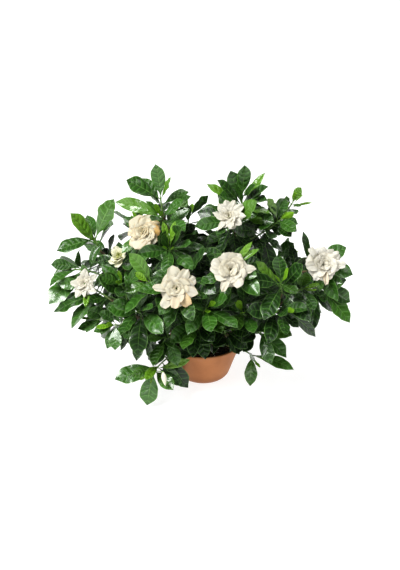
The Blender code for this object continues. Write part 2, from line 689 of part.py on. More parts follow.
def place_leaves(twig, slots, clearance, rng):
    """Choose a leaf for each slot: first the placed tips, then the leaves that fill.

    Returns:
        (face, leaf) pairs.
    """
    shoot = twig.shoot
    grown = []
    free = list(slots)
    for entry in shoot.placed:
        wanted = Vector(entry[:3])
        ratio = entry[3] if len(entry) > 3 else None
        ranked = sorted(free, key=lambda slot: slot_cost(slot, wanted, shoot.leaf))
        done = False
        for attempt in range(PLACED_TRIES):
            slot = ranked[attempt % min(4, len(ranked))]
            spread = TRY_SPREAD * (attempt // 4)
            tip = wanted + Vector([rng.uniform(-spread, spread) for _ in range(3)])
            _, face, axis = slot
            start = face.calc_center_median()
            leaf = lay_leaf(start, tip, axis, face.normal, rng, ratio, PLACED_ROLL)
            leaves_twig = (leaf.bend - start).normalized().dot(face.normal) > STALK_LEAVES
            if leaves_twig and fits(leaf, shoot.name, clearance):
                done = True
                break
        if done:
            free.remove(slot)
            grown.append((face, leaf))
            clearance.add(shoot.name, f"leaf_{len(grown)}", *leaf.shape())
        else:
            print(f"{shoot.name}: no room for the leaf to {entry}")
    for slot in free:
        leaf = fill_slot(slot, shoot, clearance, rng)
        if leaf:
            grown.append((slot[1], leaf))
            clearance.add(shoot.name, f"leaf_{len(grown)}", *leaf.shape())
    return grown


def slot_cost(slot, wanted, length):
    """Return how badly a slot suits a wanted tip."""
    _, face, axis = slot
    away = wanted - face.calc_center_median()
    turn = away.normalized().dot((face.normal * 0.8 + axis * 0.5).normalized())
    return (1.0 - turn) * TURN_COST + abs(away.length - length)


def fill_slot(slot, shoot, clearance, rng):
    """Return a leaf that fills a slot, or None where nothing fits."""
    whorl, face, axis = slot
    start = face.calc_center_median()
    outward = (face.normal - axis * face.normal.dot(axis)).normalized()
    for attempt in range(FILLING_TRIES):
        size = shoot.leaf * rng.uniform(0.86, 1.10) * (shoot.top if whorl == 0 else 1.0)
        size *= 1.0 - 0.012 * attempt
        pitch = math.radians(WHORL_PITCH[whorl] + rng.uniform(-12, 12) * (1 + attempt * 0.12))
        swing = math.radians(rng.uniform(-14, 14) * (1 + attempt * 0.10))
        radial = Matrix.Rotation(swing, 3, axis) @ outward
        heading = axis * math.cos(pitch) + radial * math.sin(pitch)
        tip = start + heading * size + Vector((0.0, 0.0, -LEAF_SAG * size))
        leaf = lay_leaf(start, tip, axis, radial, rng)
        if fits(leaf, shoot.name, clearance):
            return leaf
    return None


def bloom_mesh(bloom):
    """Build a flower as one closed lobed solid on its narrow tube."""
    facing = Vector(bloom.facing).normalized()
    across = facing.orthogonal().normalized()
    along = facing.cross(across)
    foot = bloom.foot()
    radius = bloom.width / 2
    # Each ring: its height up the flower, its radius, how lobed it is and its turn.
    rings = ((0.10, 0.0035, 0.0, 0.0), (0.34, 0.0050, 0.0, 0.0), (0.50, radius * 0.62, 0.3, 0.0),
             (0.60, radius, 1.0, 0.0), (0.72, radius * 0.78, 0.6, 0.5), (0.90, radius * 0.52, 0.6, 0.0),
             (0.97, radius * 0.22, 0.0, 0.0))
    bm = bmesh.new()
    loops = []
    for height, size, lobed, turn in rings:
        loop = []
        for spoke in range(BLOOM_SPOKES):
            angle = math.tau * spoke / BLOOM_SPOKES
            wave = 1.0 - abs(math.cos(angle * BLOOM_LOBES / 2 + turn * math.pi / 2))
            reach = size * (1.0 - lobed * BLOOM_LOBE_DEPTH * wave)
            offset = across * math.cos(angle) + along * math.sin(angle)
            loop.append(bm.verts.new(foot + facing * bloom.height * height + offset * reach))
        loops.append(loop)
    base, top = bm.verts.new(foot), bm.verts.new(foot + facing * bloom.height * 0.94)
    for spoke in range(BLOOM_SPOKES):
        after = (spoke + 1) % BLOOM_SPOKES
        bm.faces.new((base, loops[0][after], loops[0][spoke]))
        bm.faces.new((top, loops[-1][spoke], loops[-1][after]))
        for low, high in zip(loops, loops[1:]):
            bm.faces.new((low[spoke], low[after], high[after], high[spoke]))
    return bm


def stem_paths():
    """Return the way of each woody stem, straight up out of the soil at its foot."""
    rooted = POT_HEIGHT - SOIL_BELOW_RIM - ROOTED_DEPTH
    paths = {}
    for name, (foot, *rest) in STEMS.items():
        points = [(*foot, rooted), (foot[0] * 1.05, foot[1] * 1.05, rooted + ROOTED_DEPTH), *rest]
        paths[name] = Path(points, STEM_FOOT_RADIUS, STEM_TOP_RADIUS)
    return paths


def main():
    """Build the potted gardenia."""
    clear_scene()
    plastic = make_material("terracotta_plastic", TERRACOTTA, 0.5)
    earth = make_material("potting_soil", SOIL_BROWN, 0.95)
    bark = make_material("bark", TWIG_BROWN, 0.8)
    green = make_material("glossy_leaf", GREEN, 0.3)
    petal = make_material("petal", CREAM_WHITE, 0.6)
    clearance = Clearance()
    paths = stem_paths()

    pot = build_pot(plastic)
    clearance.add("pot", "shell", [vert.co.copy() for vert in pot.data.vertices],
                  [list(face.vertices) for face in pot.data.polygons])
    soil = build_soil(earth, paths)
    clearance.add("potting_soil", "fill", [vert.co.copy() for vert in soil.data.vertices],
                  [list(face.vertices) for face in soil.data.polygons])
    for name, path in paths.items():
        bm = stem_tube(path)
        clearance.add_mesh(name, "wood", bm)
        make_object(name, bm, bark)

    twigs = []
    for shoot in SHOOTS:
        twig = Twig(shoot, paths, clearance)
        bm = bmesh.new()
        slots = twig.build(bm)
        clearance.add_mesh(shoot.name, "twig", bm)
        twigs.append((twig, bm, slots))
        if shoot.bloom:
            flower = bloom_mesh(shoot.bloom)
            clearance.add_mesh(shoot.bloom.name, "petals", flower)
            make_object(shoot.bloom.name, flower, petal)

    generators = {shoot.name: random.Random(SEED + index) for index, shoot in enumerate(SHOOTS)}
    for twig, bm, slots in twigs:
        rng = generators[twig.shoot.name]
        grown = place_leaves(twig, slots, clearance, rng)
        for face, leaf in grown:
            leaf.grow(bm, face)
        make_object(twig.shoot.name, bm, green)


if __name__ == "__main__":
    main()
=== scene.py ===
"""The finished look of a potted gardenia in bloom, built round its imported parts.

Metres, +Z up, with the origin in the middle of the pot's underside. The plant is grown
by the same rules as its parts, so every leaf lies on the leaf that it stands for, and
then it is thickened with the inner leaves and the young tips that the parts leave out.
"""

import logging
import math
import random
from bisect import bisect_left
from collections.abc import Callable, Iterable, Iterator
from contextlib import contextmanager
from dataclasses import dataclass, field
from enum import Enum

import bmesh
import bpy
import numpy as np
from mathutils import Matrix, Vector, noise
from mathutils.bvhtree import BVHTree


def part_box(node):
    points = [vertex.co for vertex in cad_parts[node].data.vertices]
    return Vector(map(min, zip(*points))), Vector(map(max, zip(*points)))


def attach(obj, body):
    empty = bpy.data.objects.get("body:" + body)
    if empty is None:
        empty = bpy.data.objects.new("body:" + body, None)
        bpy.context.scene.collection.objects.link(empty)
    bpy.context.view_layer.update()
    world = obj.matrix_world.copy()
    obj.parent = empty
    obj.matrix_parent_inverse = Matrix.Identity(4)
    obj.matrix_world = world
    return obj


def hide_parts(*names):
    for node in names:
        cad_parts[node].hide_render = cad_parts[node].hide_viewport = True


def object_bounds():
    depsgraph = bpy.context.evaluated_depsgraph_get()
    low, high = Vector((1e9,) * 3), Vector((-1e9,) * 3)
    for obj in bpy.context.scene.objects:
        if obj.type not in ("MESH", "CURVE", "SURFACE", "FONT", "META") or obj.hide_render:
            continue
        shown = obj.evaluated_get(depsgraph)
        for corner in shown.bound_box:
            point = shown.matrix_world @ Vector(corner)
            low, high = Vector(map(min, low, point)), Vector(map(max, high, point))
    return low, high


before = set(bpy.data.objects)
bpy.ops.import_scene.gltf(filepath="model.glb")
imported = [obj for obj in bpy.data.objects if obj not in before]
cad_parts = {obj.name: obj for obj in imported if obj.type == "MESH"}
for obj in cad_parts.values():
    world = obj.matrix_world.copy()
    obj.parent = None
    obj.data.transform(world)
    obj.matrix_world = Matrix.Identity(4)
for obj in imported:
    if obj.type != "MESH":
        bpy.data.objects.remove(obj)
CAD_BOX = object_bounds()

LOG = logging.getLogger("gardenia")
BODY = "root"
NEAR = 1e-6

Color = tuple[float, float, float, float]
Point = tuple[float, ...]
Object = bpy.types.Object
Material = bpy.types.Material


# ---- shader arithmetic


class Channel:
    """A socket of a finish, on which arithmetic adds Math nodes."""

    def __init__(self, nodes: "Nodes", socket: bpy.types.NodeSocket) -> None:
        """Wrap a socket of a node tree."""
        self.nodes = nodes
        self.socket = socket

    def math(self, operation: str, *others: "float | Channel") -> "Channel":
        """Add a Math node that works on this channel and others."""
        return self.nodes.math(operation, self, *others)

    def __add__(self, other: "float | Channel") -> "Channel":
        """Add another value."""
        return self.math("ADD", other)

    __radd__ = __add__

    def __mul__(self, other: "float | Channel") -> "Channel":
        """Multiply by another value."""
        return self.math("MULTIPLY", other)

    __rmul__ = __mul__

    def __sub__(self, other: "float | Channel") -> "Channel":
        """Take another value away."""
        return self.math("SUBTRACT", other)

    def __rsub__(self, other: float) -> "Channel":
        """Take this channel away from a number."""
        return self.nodes.math("SUBTRACT", other, self)

    def __abs__(self) -> "Channel":
        """Drop the sign."""
        return self.math("ABSOLUTE")

    def fraction(self) -> "Channel":
        """Keep what follows the decimal point."""
        return self.math("FRACT")

    def step(self, start: float, end: float) -> "Channel":
        """Rise smoothly from 0 at start to 1 at end, or fall where the end is lower.

        Args:
            start: Where it is 0.
            end: Where it is 1.

        Returns:
            The smoothed channel.
        """
        if start > end:
            return 1 - self.step(end, start)
        return self.nodes.node("ShaderNodeMapRange", {"interpolation_type": "SMOOTHSTEP"},
                               {"Value": self, "From Min": start, "From Max": end})


class Nodes:
    """The material of one finish and its node tree."""

    def __init__(self, name: str, **constants: float | Color) -> None:
        """Start a material.

        Args:
            name: Its name.
            constants: Values for the shader's sockets, with _ for each space.
        """
        self.material = bpy.data.materials.new(name)
        self.material.use_nodes = True
        self.tree = self.material.node_tree
        self.shader = self.tree.nodes["Principled BSDF"]
        for socket, value in constants.items():
            self.shader.inputs[socket.replace("_", " ")].default_value = value

    def node(self, kind: str, settings: dict | None = None, sockets: dict | None = None,
             output: int | str = 0) -> Channel:
        """Add a node.

        Args:
            kind: Its type.
            settings: Its own settings.
            sockets: Values or channels for its inputs.
            output: Which of its outputs to return.

        Returns:
            That output.
        """
        made = self.tree.nodes.new(kind)
        for name, value in (settings or {}).items():
            setattr(made, name, value)
        for name, value in (sockets or {}).items():
            if isinstance(value, Channel):
                self.tree.links.new(value.socket, made.inputs[name])
            else:
                made.inputs[name].default_value = value
        return Channel(self, made.outputs[output])

    def math(self, operation: str, *operands: float | Channel) -> Channel:
        """Add a Math node on numbers or channels."""
        return self.node("ShaderNodeMath", {"operation": operation}, dict(enumerate(operands)))

    def place(self) -> Channel:
        """Return the point on the piece, in metres."""
        return self.node("ShaderNodeTexCoord", output="Object")

    def surface(self) -> tuple[Channel, Channel]:
        """Read how far to the side and how far along a leaf or petal is, by its UV map.

        Returns:
            The two channels.
        """
        uv = self.node("ShaderNodeUVMap", {"uv_map": "UVMap"})
        across, along = (self.node("ShaderNodeSeparateXYZ", sockets={0: uv}, output=axis)
                         for axis in "XY")
        return abs(across * 2.0 - 1.0), along

    def along_surface(self, across: float, along: float) -> Channel:
        """Return the UV map stretched by two factors, as a point for a pattern.

        Args:
            across: The factor to the side.
            along: The factor from stalk to tip.

        Returns:
            The point.
        """
        uv = self.node("ShaderNodeUVMap", {"uv_map": "UVMap"})
        return self.node("ShaderNodeVectorMath", {"operation": "MULTIPLY"},
                         {0: uv, 1: (across, along, 1.0)})

    def attribute(self, name: str) -> Channel:
        """Return a number that the piece carries."""
        return self.node("ShaderNodeAttribute", {"attribute_name": name}, output="Fac")

    def noise(self, point: Channel, scale: float, detail: float = 2.0) -> Channel:
        """Return a cloudy pattern from 0 to 1."""
        return self.node("ShaderNodeTexNoise", sockets={
            "Vector": point, "Scale": scale, "Detail": detail})

    def cells(self, point: Channel, scale: float) -> Channel:
        """Return the distance to the middle of the nearest cell."""
        return self.node("ShaderNodeTexVoronoi", sockets={"Vector": point, "Scale": scale})

    def mix(self, share: float | Channel, low: Color | Channel, high: Color | Channel) -> Channel:
        """Mix two colors."""
        return self.node("ShaderNodeMix", {"data_type": "RGBA"}, {0: share, 6: low, 7: high}, 2)

    def bump(self, height: Channel, depth: float, strength: float = 1.0) -> Channel:
        """Return a normal for a relief of a depth in metres."""
        return self.node("ShaderNodeBump", sockets={
            "Height": height, "Distance": depth, "Strength": strength})

    def drive(self, **sockets: Channel) -> None:
        """Link channels to the shader's sockets, with _ for each space."""
        for name, channel in sockets.items():
            self.tree.links.new(channel.socket, self.shader.inputs[name.replace("_", " ")])


# ---- finishes


@dataclass(frozen=True)
class TerracottaPlastic:
    """The pot's matt moulded plastic, coloured like fired clay."""

    clay: Color = (0.44, 0.180, 0.066, 1.0)
    shade: Color = (0.37, 0.146, 0.053, 1.0)
    # The colour of the painted shade towards the pot's foot.
    painted_foot_shade: Color = (0.24, 0.090, 0.034, 1.0)
    dust: Color = (0.50, 0.27, 0.16, 1.0)
    grain: float = 900.0
    cloud: float = 22.0

    def make(self) -> Material:
        """Make the finish.

        Returns:
            Its material.
        """
        nodes = Nodes("terracotta_plastic", Metallic=0.0, Specular_IOR_Level=0.35)
        point = nodes.place()
        cloud = nodes.noise(point, self.cloud, 4.0)
        grain = nodes.noise(point, self.grain, 1.0)
        body = nodes.mix(cloud.step(0.35, 0.7), self.shade, self.clay)
        height = nodes.node("ShaderNodeSeparateXYZ", sockets={0: point}, output="Z")
        dusty = height.step(0.062, 0.080) * nodes.noise(point, 130.0, 3.0).step(0.5, 0.75) * 0.5
        # Painted shade darkens the pot over its lowest 30 mm, towards its foot.
        color = nodes.mix(height.step(0.030, 0.0) * 0.7, nodes.mix(dusty, body, self.dust),
                          self.painted_foot_shade)
        nodes.drive(Base_Color=color, Roughness=0.46 + grain * 0.14 + dusty * 0.2,
                    Normal=nodes.bump(grain + cloud * 2.0, 0.00008, 0.6))
        return nodes.material


@dataclass(frozen=True)
class PottingMix:
    """Dark damp peat with paler fibres."""

    peat: Color = (0.018, 0.011, 0.007, 1.0)
    fibre: Color = (0.085, 0.05, 0.028, 1.0)

    def make(self) -> Material:
        """Make the finish.

        Returns:
            Its material.
        """
        nodes = Nodes("potting_mix", Roughness=0.95, Specular_IOR_Level=0.25)
        point = nodes.place()
        crumbs = nodes.noise(point, 420.0, 6.0)
        clumps = nodes.noise(point, 90.0, 3.0)
        color = nodes.mix((crumbs * 0.7 + clumps * 0.3).step(0.42, 0.7), self.peat, self.fibre)
        nodes.drive(Base_Color=color, Normal=nodes.bump(crumbs + clumps, 0.0012))
        return nodes.material


@dataclass(frozen=True)
class Mottled:
    """A plain mottled skin, as on a bark chip, a perlite grain or a calyx."""

    name: str
    dark: Color
    light: Color
    scale: float = 260.0
    detail: float = 4.0
    roughness: float = 0.9
    shine: float = 0.3
    relief: float = 0.0005

    def make(self) -> Material:
        """Make the finish.

        Returns:
            Its material.
        """
        nodes = Nodes(self.name, Roughness=self.roughness, Specular_IOR_Level=self.shine)
        mottle = nodes.noise(nodes.place(), self.scale, self.detail)
        nodes.drive(Base_Color=nodes.mix(mottle.step(0.3, 0.7), self.dark, self.light),
                    Normal=nodes.bump(mottle, self.relief))
        return nodes.material


@dataclass(frozen=True)
class Bark:
    """Grey-brown bark with fine cracks and pale pores."""

    brown: Color = (0.105, 0.068, 0.036, 1.0)
    grey: Color = (0.21, 0.175, 0.12, 1.0)
    pore: Color = (0.34, 0.29, 0.20, 1.0)

    def make(self) -> Material:
        """Make the finish.

        Returns:
            Its material.
        """
        nodes = Nodes("bark", Roughness=0.85, Specular_IOR_Level=0.3)
        point = nodes.place()
        streaks = nodes.noise(nodes.along_surface(60.0, 9.0), 1.0, 5.0)
        patches = nodes.noise(point, 120.0, 3.0)
        pores = nodes.cells(point, 520.0).step(0.30, 0.16)
        color = nodes.mix((streaks * 0.6 + patches * 0.4).step(0.38, 0.62), self.brown, self.grey)
        color = nodes.mix(pores * 0.7, color, self.pore)
        nodes.drive(Base_Color=color,
                    Normal=nodes.bump(streaks + pores * 0.5, 0.0005, 0.8))
        return nodes.material


@dataclass(frozen=True)
class GreenTwig:
    """A young shoot's skin, green at its tip and turning to bark at its foot."""

    green: Color = (0.10, 0.21, 0.045, 1.0)
    pale: Color = (0.20, 0.31, 0.085, 1.0)
    wood: Color = (0.135, 0.098, 0.05, 1.0)

    def make(self) -> Material:
        """Make the finish.

        Returns:
            Its material.
        """
        nodes = Nodes("green_twig", Specular_IOR_Level=0.45)
        point = nodes.place()
        mottle = nodes.noise(point, 300.0, 3.0)
        woody = nodes.attribute("woody")
        skin = nodes.mix(mottle.step(0.35, 0.65), self.green, self.pale)
        wood = (woody + (mottle - 0.5) * 0.5).step(0.45, 0.8)
        nodes.drive(Base_Color=nodes.mix(wood, skin, self.wood), Roughness=0.42 + wood * 0.4,
                    Normal=nodes.bump(mottle, 0.0003))
        return nodes.material


@dataclass(frozen=True)
class LeafGloss:
    """The waxy upper side of a leaf, with sunken veins, a pale midrib and a painted highlight along its
    margin.
    """

    deep: Color = (0.0080, 0.026, 0.0042, 1.0)
    fresh: Color = (0.037, 0.112, 0.0125, 1.0)
    young: Color = (0.175, 0.36, 0.020, 1.0)
    vein: Color = (0.085, 0.215, 0.042, 1.0)
    midrib: Color = (0.125, 0.255, 0.055, 1.0)
    pairs: int = 7

    def make(self) -> Material:
        """Make the finish.

        Returns:
            Its material.
        """
        nodes = Nodes("leaf_gloss", Specular_IOR_Level=0.32, Coat_Roughness=0.15)
        point = nodes.place()
        side, along = nodes.surface()
        midrib = side.step(0.085, 0.02) * along.step(1.0, 0.5)
        stalk = along.step(0.115, 0.085)
        cloud = nodes.noise(point, 75.0, 3.0)
        drift = (nodes.noise(point, 38.0, 2.0) - 0.5) * 1.1
        fold = abs((along * self.pairs + 0.5 + drift).fraction() - 0.5) * 2.0
        side_vein = fold.step(0.30, 0.04) * side.step(1.0, 0.70)
        net = nodes.cells(nodes.along_surface(30.0, 54.0), 1.0)
        youth = nodes.attribute("youth")
        # The tone holds each leaf's own lightness together with painted shade and painted light, and
        # the coat's weight rises with it.
        tone = nodes.attribute("tone")
        blade = nodes.mix((tone * 0.7 + cloud * 0.5 - 0.1).step(0.1, 0.9), self.deep, self.fresh)
        blade = nodes.mix(youth, blade, self.young)
        vein = nodes.mix(youth, self.vein, self.young)
        blade = nodes.mix(side_vein * (0.36 + tone * 0.34), blade, vein)
        rib = nodes.mix(youth, self.midrib, self.young)
        color = nodes.mix((midrib * 0.75).math("MAXIMUM", stalk), blade, rib)
        # A pale line along the margin, in the midrib's colour, is a painted highlight.
        color = nodes.mix(side.step(0.86, 0.99) * 0.65, color, rib)
        quilt = fold * (cloud * 1.6 + 0.1) * (1.15 - side * 0.6)
        relief = quilt - midrib * 0.8 + net * 0.25 + cloud * 0.5
        nodes.drive(Base_Color=color, Roughness=0.26 + cloud * 0.14 + youth * 0.12,
                    Coat_Weight=0.34 + tone * 0.48 - youth * 0.2,
                    Normal=nodes.bump(relief, 0.0015, 0.8))
        return nodes.material


@dataclass(frozen=True)
class LeafUnderside:
    """The paler, duller underside of a leaf, with raised veins."""

    pale: Color = (0.075, 0.16, 0.045, 1.0)
    deep: Color = (0.045, 0.115, 0.028, 1.0)
    young: Color = (0.20, 0.38, 0.045, 1.0)
    vein: Color = (0.17, 0.29, 0.09, 1.0)
    pairs: int = 7

    def make(self) -> Material:
        """Make the finish.

        Returns:
            Its material.
        """
        nodes = Nodes("leaf_underside", Roughness=0.52, Specular_IOR_Level=0.4)
        side, along = nodes.surface()
        midrib = side.step(0.14, 0.03)
        fold = abs((along * self.pairs + 0.5).fraction() - 0.5) * 2.0
        side_vein = fold.step(0.22, 0.05) * side.step(1.0, 0.6)
        cloud = nodes.noise(nodes.place(), 90.0, 3.0)
        youth = nodes.attribute("youth")
        blade = nodes.mix(cloud.step(0.3, 0.7), self.deep, self.pale)
        blade = nodes.mix(youth, blade, self.young)
        veins = midrib.math("MAXIMUM", side_vein * 0.5)
        nodes.drive(Base_Color=nodes.mix(veins, blade, self.vein),
                    Normal=nodes.bump(veins + cloud * 0.3, 0.0006, 0.6))
        return nodes.material


@dataclass(frozen=True)
class Petal:
    """A flower's soft petals, white when fresh, creamy and then tan with age."""

    name: str
    fresh: Color = (0.56, 0.54, 0.465, 1.0)
    cream: Color = (0.55, 0.495, 0.335, 1.0)
    tan: Color = (0.52, 0.32, 0.11, 1.0)
    throat: Color = (0.62, 0.64, 0.30, 1.0)
    throat_share: float = 0.1
    green_heart: float = 0.0
    creamy: float = 0.2
    aged: float = 0.1

    def make(self) -> Material:
        """Make the finish.

        Returns:
            Its material.
        """
        nodes = Nodes(self.name, Roughness=0.6, Specular_IOR_Level=0.25, Subsurface_Weight=0.4,
                      Subsurface_Scale=0.004, Subsurface_Radius=(1.0, 0.95, 0.8))
        point = nodes.place()
        side, along = nodes.surface()
        streaks = nodes.noise(nodes.along_surface(46.0, 3.0), 1.0, 3.0)
        cloud = nodes.noise(point, 70.0, 3.0)
        inner = nodes.attribute("inner")
        wilted = nodes.attribute("wilted")
        warmth = (self.creamy + inner * 0.35 + (cloud - 0.5) * 0.5).math("MAXIMUM", 0.0)
        color = nodes.mix(warmth, self.fresh, self.cream)
        rim = (side * 0.75 + along * 0.35).step(0.80, 1.08)
        age = (wilted + self.aged * rim * 1.6) * (cloud * 0.9 + streaks * 0.6).step(0.25, 0.8)
        color = nodes.mix(age.math("MINIMUM", 1.0), color, self.tan)
        throat = along.step(0.02 + self.throat_share * 0.9, 0.02) * 0.6
        color = nodes.mix(throat.math("MAXIMUM", inner * self.green_heart), color, self.throat)
        nodes.drive(Base_Color=color, Normal=nodes.bump(streaks + cloud * 0.5, 0.0005, 0.5))
        return nodes.material


@dataclass(frozen=True)
class PaleBackdrop:
    """The plain, nearly white studio floor and the paper that stands round it."""

    name: str
    tint: Color = (0.42, 0.42, 0.42, 1.0)
    worn: Color = (0.40, 0.40, 0.40, 1.0)
    glow: float = 0.70

    def make(self) -> Material:
        """Make the finish.

        Returns:
            Its material.
        """
        nodes = Nodes(self.name, Roughness=0.8, Specular_IOR_Level=0.1,
                      Emission_Color=(1.0, 1.0, 1.0, 1.0), Emission_Strength=self.glow)
        cloud = nodes.noise(nodes.place(), 1.5, 2.0)
        nodes.drive(Base_Color=nodes.mix(cloud, self.tint, self.worn))
        return nodes.material


class Finishes:
    """The plant's materials other than the petals' and the studio's, each made once."""

    def __init__(self) -> None:
        """Make the materials."""
        self.pot = TerracottaPlastic().make()
        self.soil = PottingMix().make()
        self.chips = Mottled("bark_chips", (0.035, 0.018, 0.010, 1.0),
                             (0.15, 0.085, 0.045, 1.0)).make()
        self.perlite = Mottled("perlite", (0.55, 0.53, 0.48, 1.0), (0.80, 0.78, 0.73, 1.0)).make()
        self.bark = Bark().make()
        self.twig = GreenTwig().make()
        self.leaf = LeafGloss().make()
        self.underside = LeafUnderside().make()
        self.calyx = Mottled("calyx", (0.06, 0.16, 0.03, 1.0), (0.16, 0.30, 0.06, 1.0),
                             scale=240.0, detail=3.0, roughness=0.42, shine=0.45,
                             relief=0.0004).make()


# ---- working a mesh


class Workpiece:
    """A mesh that is shaped with edit-mode operators, as by hand."""

    def __init__(self, name: str, add: Callable, **sizes: object) -> None:
        """Start from a primitive.

        Args:
            name: The piece's name.
            add: The operator that adds the primitive.
            sizes: Its sizes and place.
        """
        bpy.ops.object.select_all(action="DESELECT")
        add(**sizes)
        self.obj = bpy.context.active_object
        self.obj.name = self.obj.data.name = name
        bpy.ops.object.transform_apply(location=True, rotation=True, scale=True)

    def choose(self, test: Callable[[Vector], bool]) -> None:
        """Select the vertices whose place passes a test.

        Args:
            test: The test.
        """
        mesh = bmesh.from_edit_mesh(self.obj.data)
        for vert in mesh.verts:
            vert.select = test(vert.co)
        mesh.select_flush_mode()
        bmesh.update_edit_mesh(self.obj.data)

    def shift(self, test: Callable[[Vector], bool], offset: Point) -> None:
        """Move the vertices that pass a test."""
        self.choose(test)
        bpy.ops.transform.translate(value=offset)

    def widen(self, test: Callable[[Vector], bool], factors: Point, centre: Point) -> None:
        """Scale the vertices that pass a test about a centre."""
        self.choose(test)
        bpy.ops.transform.resize(value=factors, center_override=centre)

    def draw_ring(self, radius: float, height: float, before: tuple[float, float]) -> None:
        """Extrude the selected ring to another radius and height, from those it had before.

        Args:
            radius: The new ring's radius.
            height: Its height.
            before: The radius and height of the last one.
        """
        bpy.ops.mesh.extrude_region_move(
            TRANSFORM_OT_translate={"value": (0.0, 0.0, height - before[1])})
        share = radius / before[0]
        bpy.ops.transform.resize(value=(share, share, 1.0), center_override=(0.0, 0.0, height))

    def modify(self, kind: str, **settings: object) -> None:
        """Add a modifier and apply it.

        Args:
            kind: The modifier's type.
            settings: Its settings.
        """
        bpy.context.view_layer.objects.active = self.obj
        modifier = self.obj.modifiers.new(kind.title(), kind)
        for name, value in settings.items():
            setattr(modifier, name, value)
        bpy.ops.object.modifier_apply(modifier=modifier.name)


def only(obj: Object) -> None:
    """Make one object the only selected one, and the active one.

    Args:
        obj: The object.
    """
    bpy.ops.object.select_all(action="DESELECT")
    obj.select_set(True)
    bpy.context.view_layer.objects.active = obj


def copied(template: Object, name: str) -> Object:
    """Return a copy of an object that has its own mesh.

    Args:
        template: The object.
        name: The copy's name.

    Returns:
        The copy.
    """
    obj = template.copy()
    obj.data = template.data.copy()
    obj.name = obj.data.name = name
    bpy.context.scene.collection.objects.link(obj)
    return obj


def joined(objects: list[Object], name: str) -> Object:
    """Join several meshes into one object, the first one's materials first.

    Args:
        objects: The meshes.
        name: The name of the whole.

    Returns:
        The object.
    """
    only(objects[0])
    for obj in objects[1:]:
        obj.select_set(True)
    if len(objects) > 1:
        bpy.ops.object.join()
    obj = bpy.context.view_layer.objects.active
    obj.name = obj.data.name = name
    return obj


def reshaped(obj: Object, places: np.ndarray) -> None:
    """Put the vertices of a mesh at new places."""
    obj.data.vertices.foreach_set("co", places.astype(np.float32).ravel())
    obj.data.update()


def places_of(obj: Object) -> np.ndarray:
    """Return the places of a mesh's vertices, one row each.

    Args:
        obj: The mesh.

    Returns:
        The places.
    """
    places = np.empty(len(obj.data.vertices) * 3, np.float32)
    obj.data.vertices.foreach_get("co", places)
    return places.reshape(-1, 3).astype(float)


def mark(obj: Object, name: str, values: float | np.ndarray) -> None:
    """Write a number on each vertex of a mesh, for its finish to read.

    Args:
        obj: The mesh.
        name: The attribute's name.
        values: One number, or one for each vertex.
    """
    attribute = obj.data.attributes.new(name, "FLOAT", "POINT")
    filled = np.full(len(obj.data.vertices), values) if np.isscalar(values) else values
    attribute.data.foreach_set("value", filled.astype(np.float32))


@contextmanager
def editing(obj: Object) -> Iterator[None]:
    """Hold an object's mesh in edit mode, with all its vertices selected.

    Args:
        obj: The object.
    """
    bpy.context.view_layer.objects.active = obj
    bpy.ops.object.mode_set(mode="EDIT")
    bpy.ops.mesh.select_mode(type="VERT")
    bpy.ops.mesh.select_all(action="SELECT")
    yield
    bpy.ops.object.mode_set(mode="OBJECT")


def smooth(obj: Object, degrees: float = 60.0) -> None:
    """Shade a piece smooth, up to an angle between faces."""
    only(obj)
    bpy.ops.object.shade_smooth_by_angle(angle=math.radians(degrees))


def dress(obj: Object, *materials: Material) -> None:
    """Give a piece its materials.

    Args:
        obj: The piece.
        materials: Its materials, the outer one first.
    """
    obj.data.materials.clear()
    for material in materials:
        obj.data.materials.append(material)


def turned(name: str, outline: list[tuple[float, float]], segments: int) -> Workpiece:
    """Turn a closed piece from its outline, as on a lathe.

    Args:
        name: The piece's name.
        outline: The radius and height of each ring, from round the underside to the last.
        segments: The sides of a ring.

    Returns:
        The piece.
    """
    radius, floor = outline[0]
    piece = Workpiece(name, bpy.ops.mesh.primitive_circle_add, vertices=segments, radius=radius,
                      location=(0.0, 0.0, floor))
    with editing(piece.obj):
        for before, (ring, height) in zip(outline, outline[1:]):
            piece.draw_ring(ring, height, before)
        bpy.ops.mesh.edge_face_add()
        piece.choose(lambda place: place.z < floor + NEAR and place.xy.length < radius + NEAR)
        bpy.ops.mesh.edge_face_add()
        bpy.ops.mesh.select_all(action="SELECT")
        bpy.ops.mesh.normals_make_consistent(inside=False)
    return piece


def tube_along(name: str, points: list[Vector], radii: list[float], material: Material,
               roundness: int = 2) -> Object:
    """Model a round limb that follows a way, with closed ends.

    Args:
        name: The piece's name.
        points: The way, from foot to tip.
        radii: The limb's radius at each point.
        material: Its finish.
        roundness: How many times its section's quarters are divided.

    Returns:
        The limb, as a mesh.
    """
    bpy.ops.object.select_all(action="DESELECT")
    bpy.ops.curve.primitive_nurbs_path_add()
    curve = bpy.context.active_object.data
    curve.splines.clear()
    spline = curve.splines.new("POLY")
    spline.points.add(len(points) - 1)
    for place, point, radius in zip(spline.points, points, radii):
        place.co = (*point, 1.0)
        place.radius = radius
    curve.dimensions = "3D"
    curve.bevel_depth = 1.0
    curve.bevel_resolution = roundness
    curve.use_fill_caps = True
    bpy.ops.object.convert(target="MESH")
    limb = bpy.context.active_object
    limb.name = limb.data.name = name
    with editing(limb):
        bpy.ops.mesh.remove_doubles(threshold=1e-6)
        bpy.ops.mesh.normals_make_consistent(inside=False)
    dress(limb, material)
    smooth(limb)
    return limb


def settle(obj: Object, slot: str, *nodes: str) -> None:
    """Hand a finished piece to the frame, in the place of the parts it stands for.

    Args:
        obj: The piece.
        slot: The name of a material slot; not used.
        nodes: The parts that it stands for.
    """
    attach(obj, BODY)
    if nodes:
        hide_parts(*nodes)
    faces = len(obj.data.polygons)
    LOG.info("%s: %d faces, stands for %s", obj.name, faces, ", ".join(nodes) or "nothing")


# ---- how the plant grows

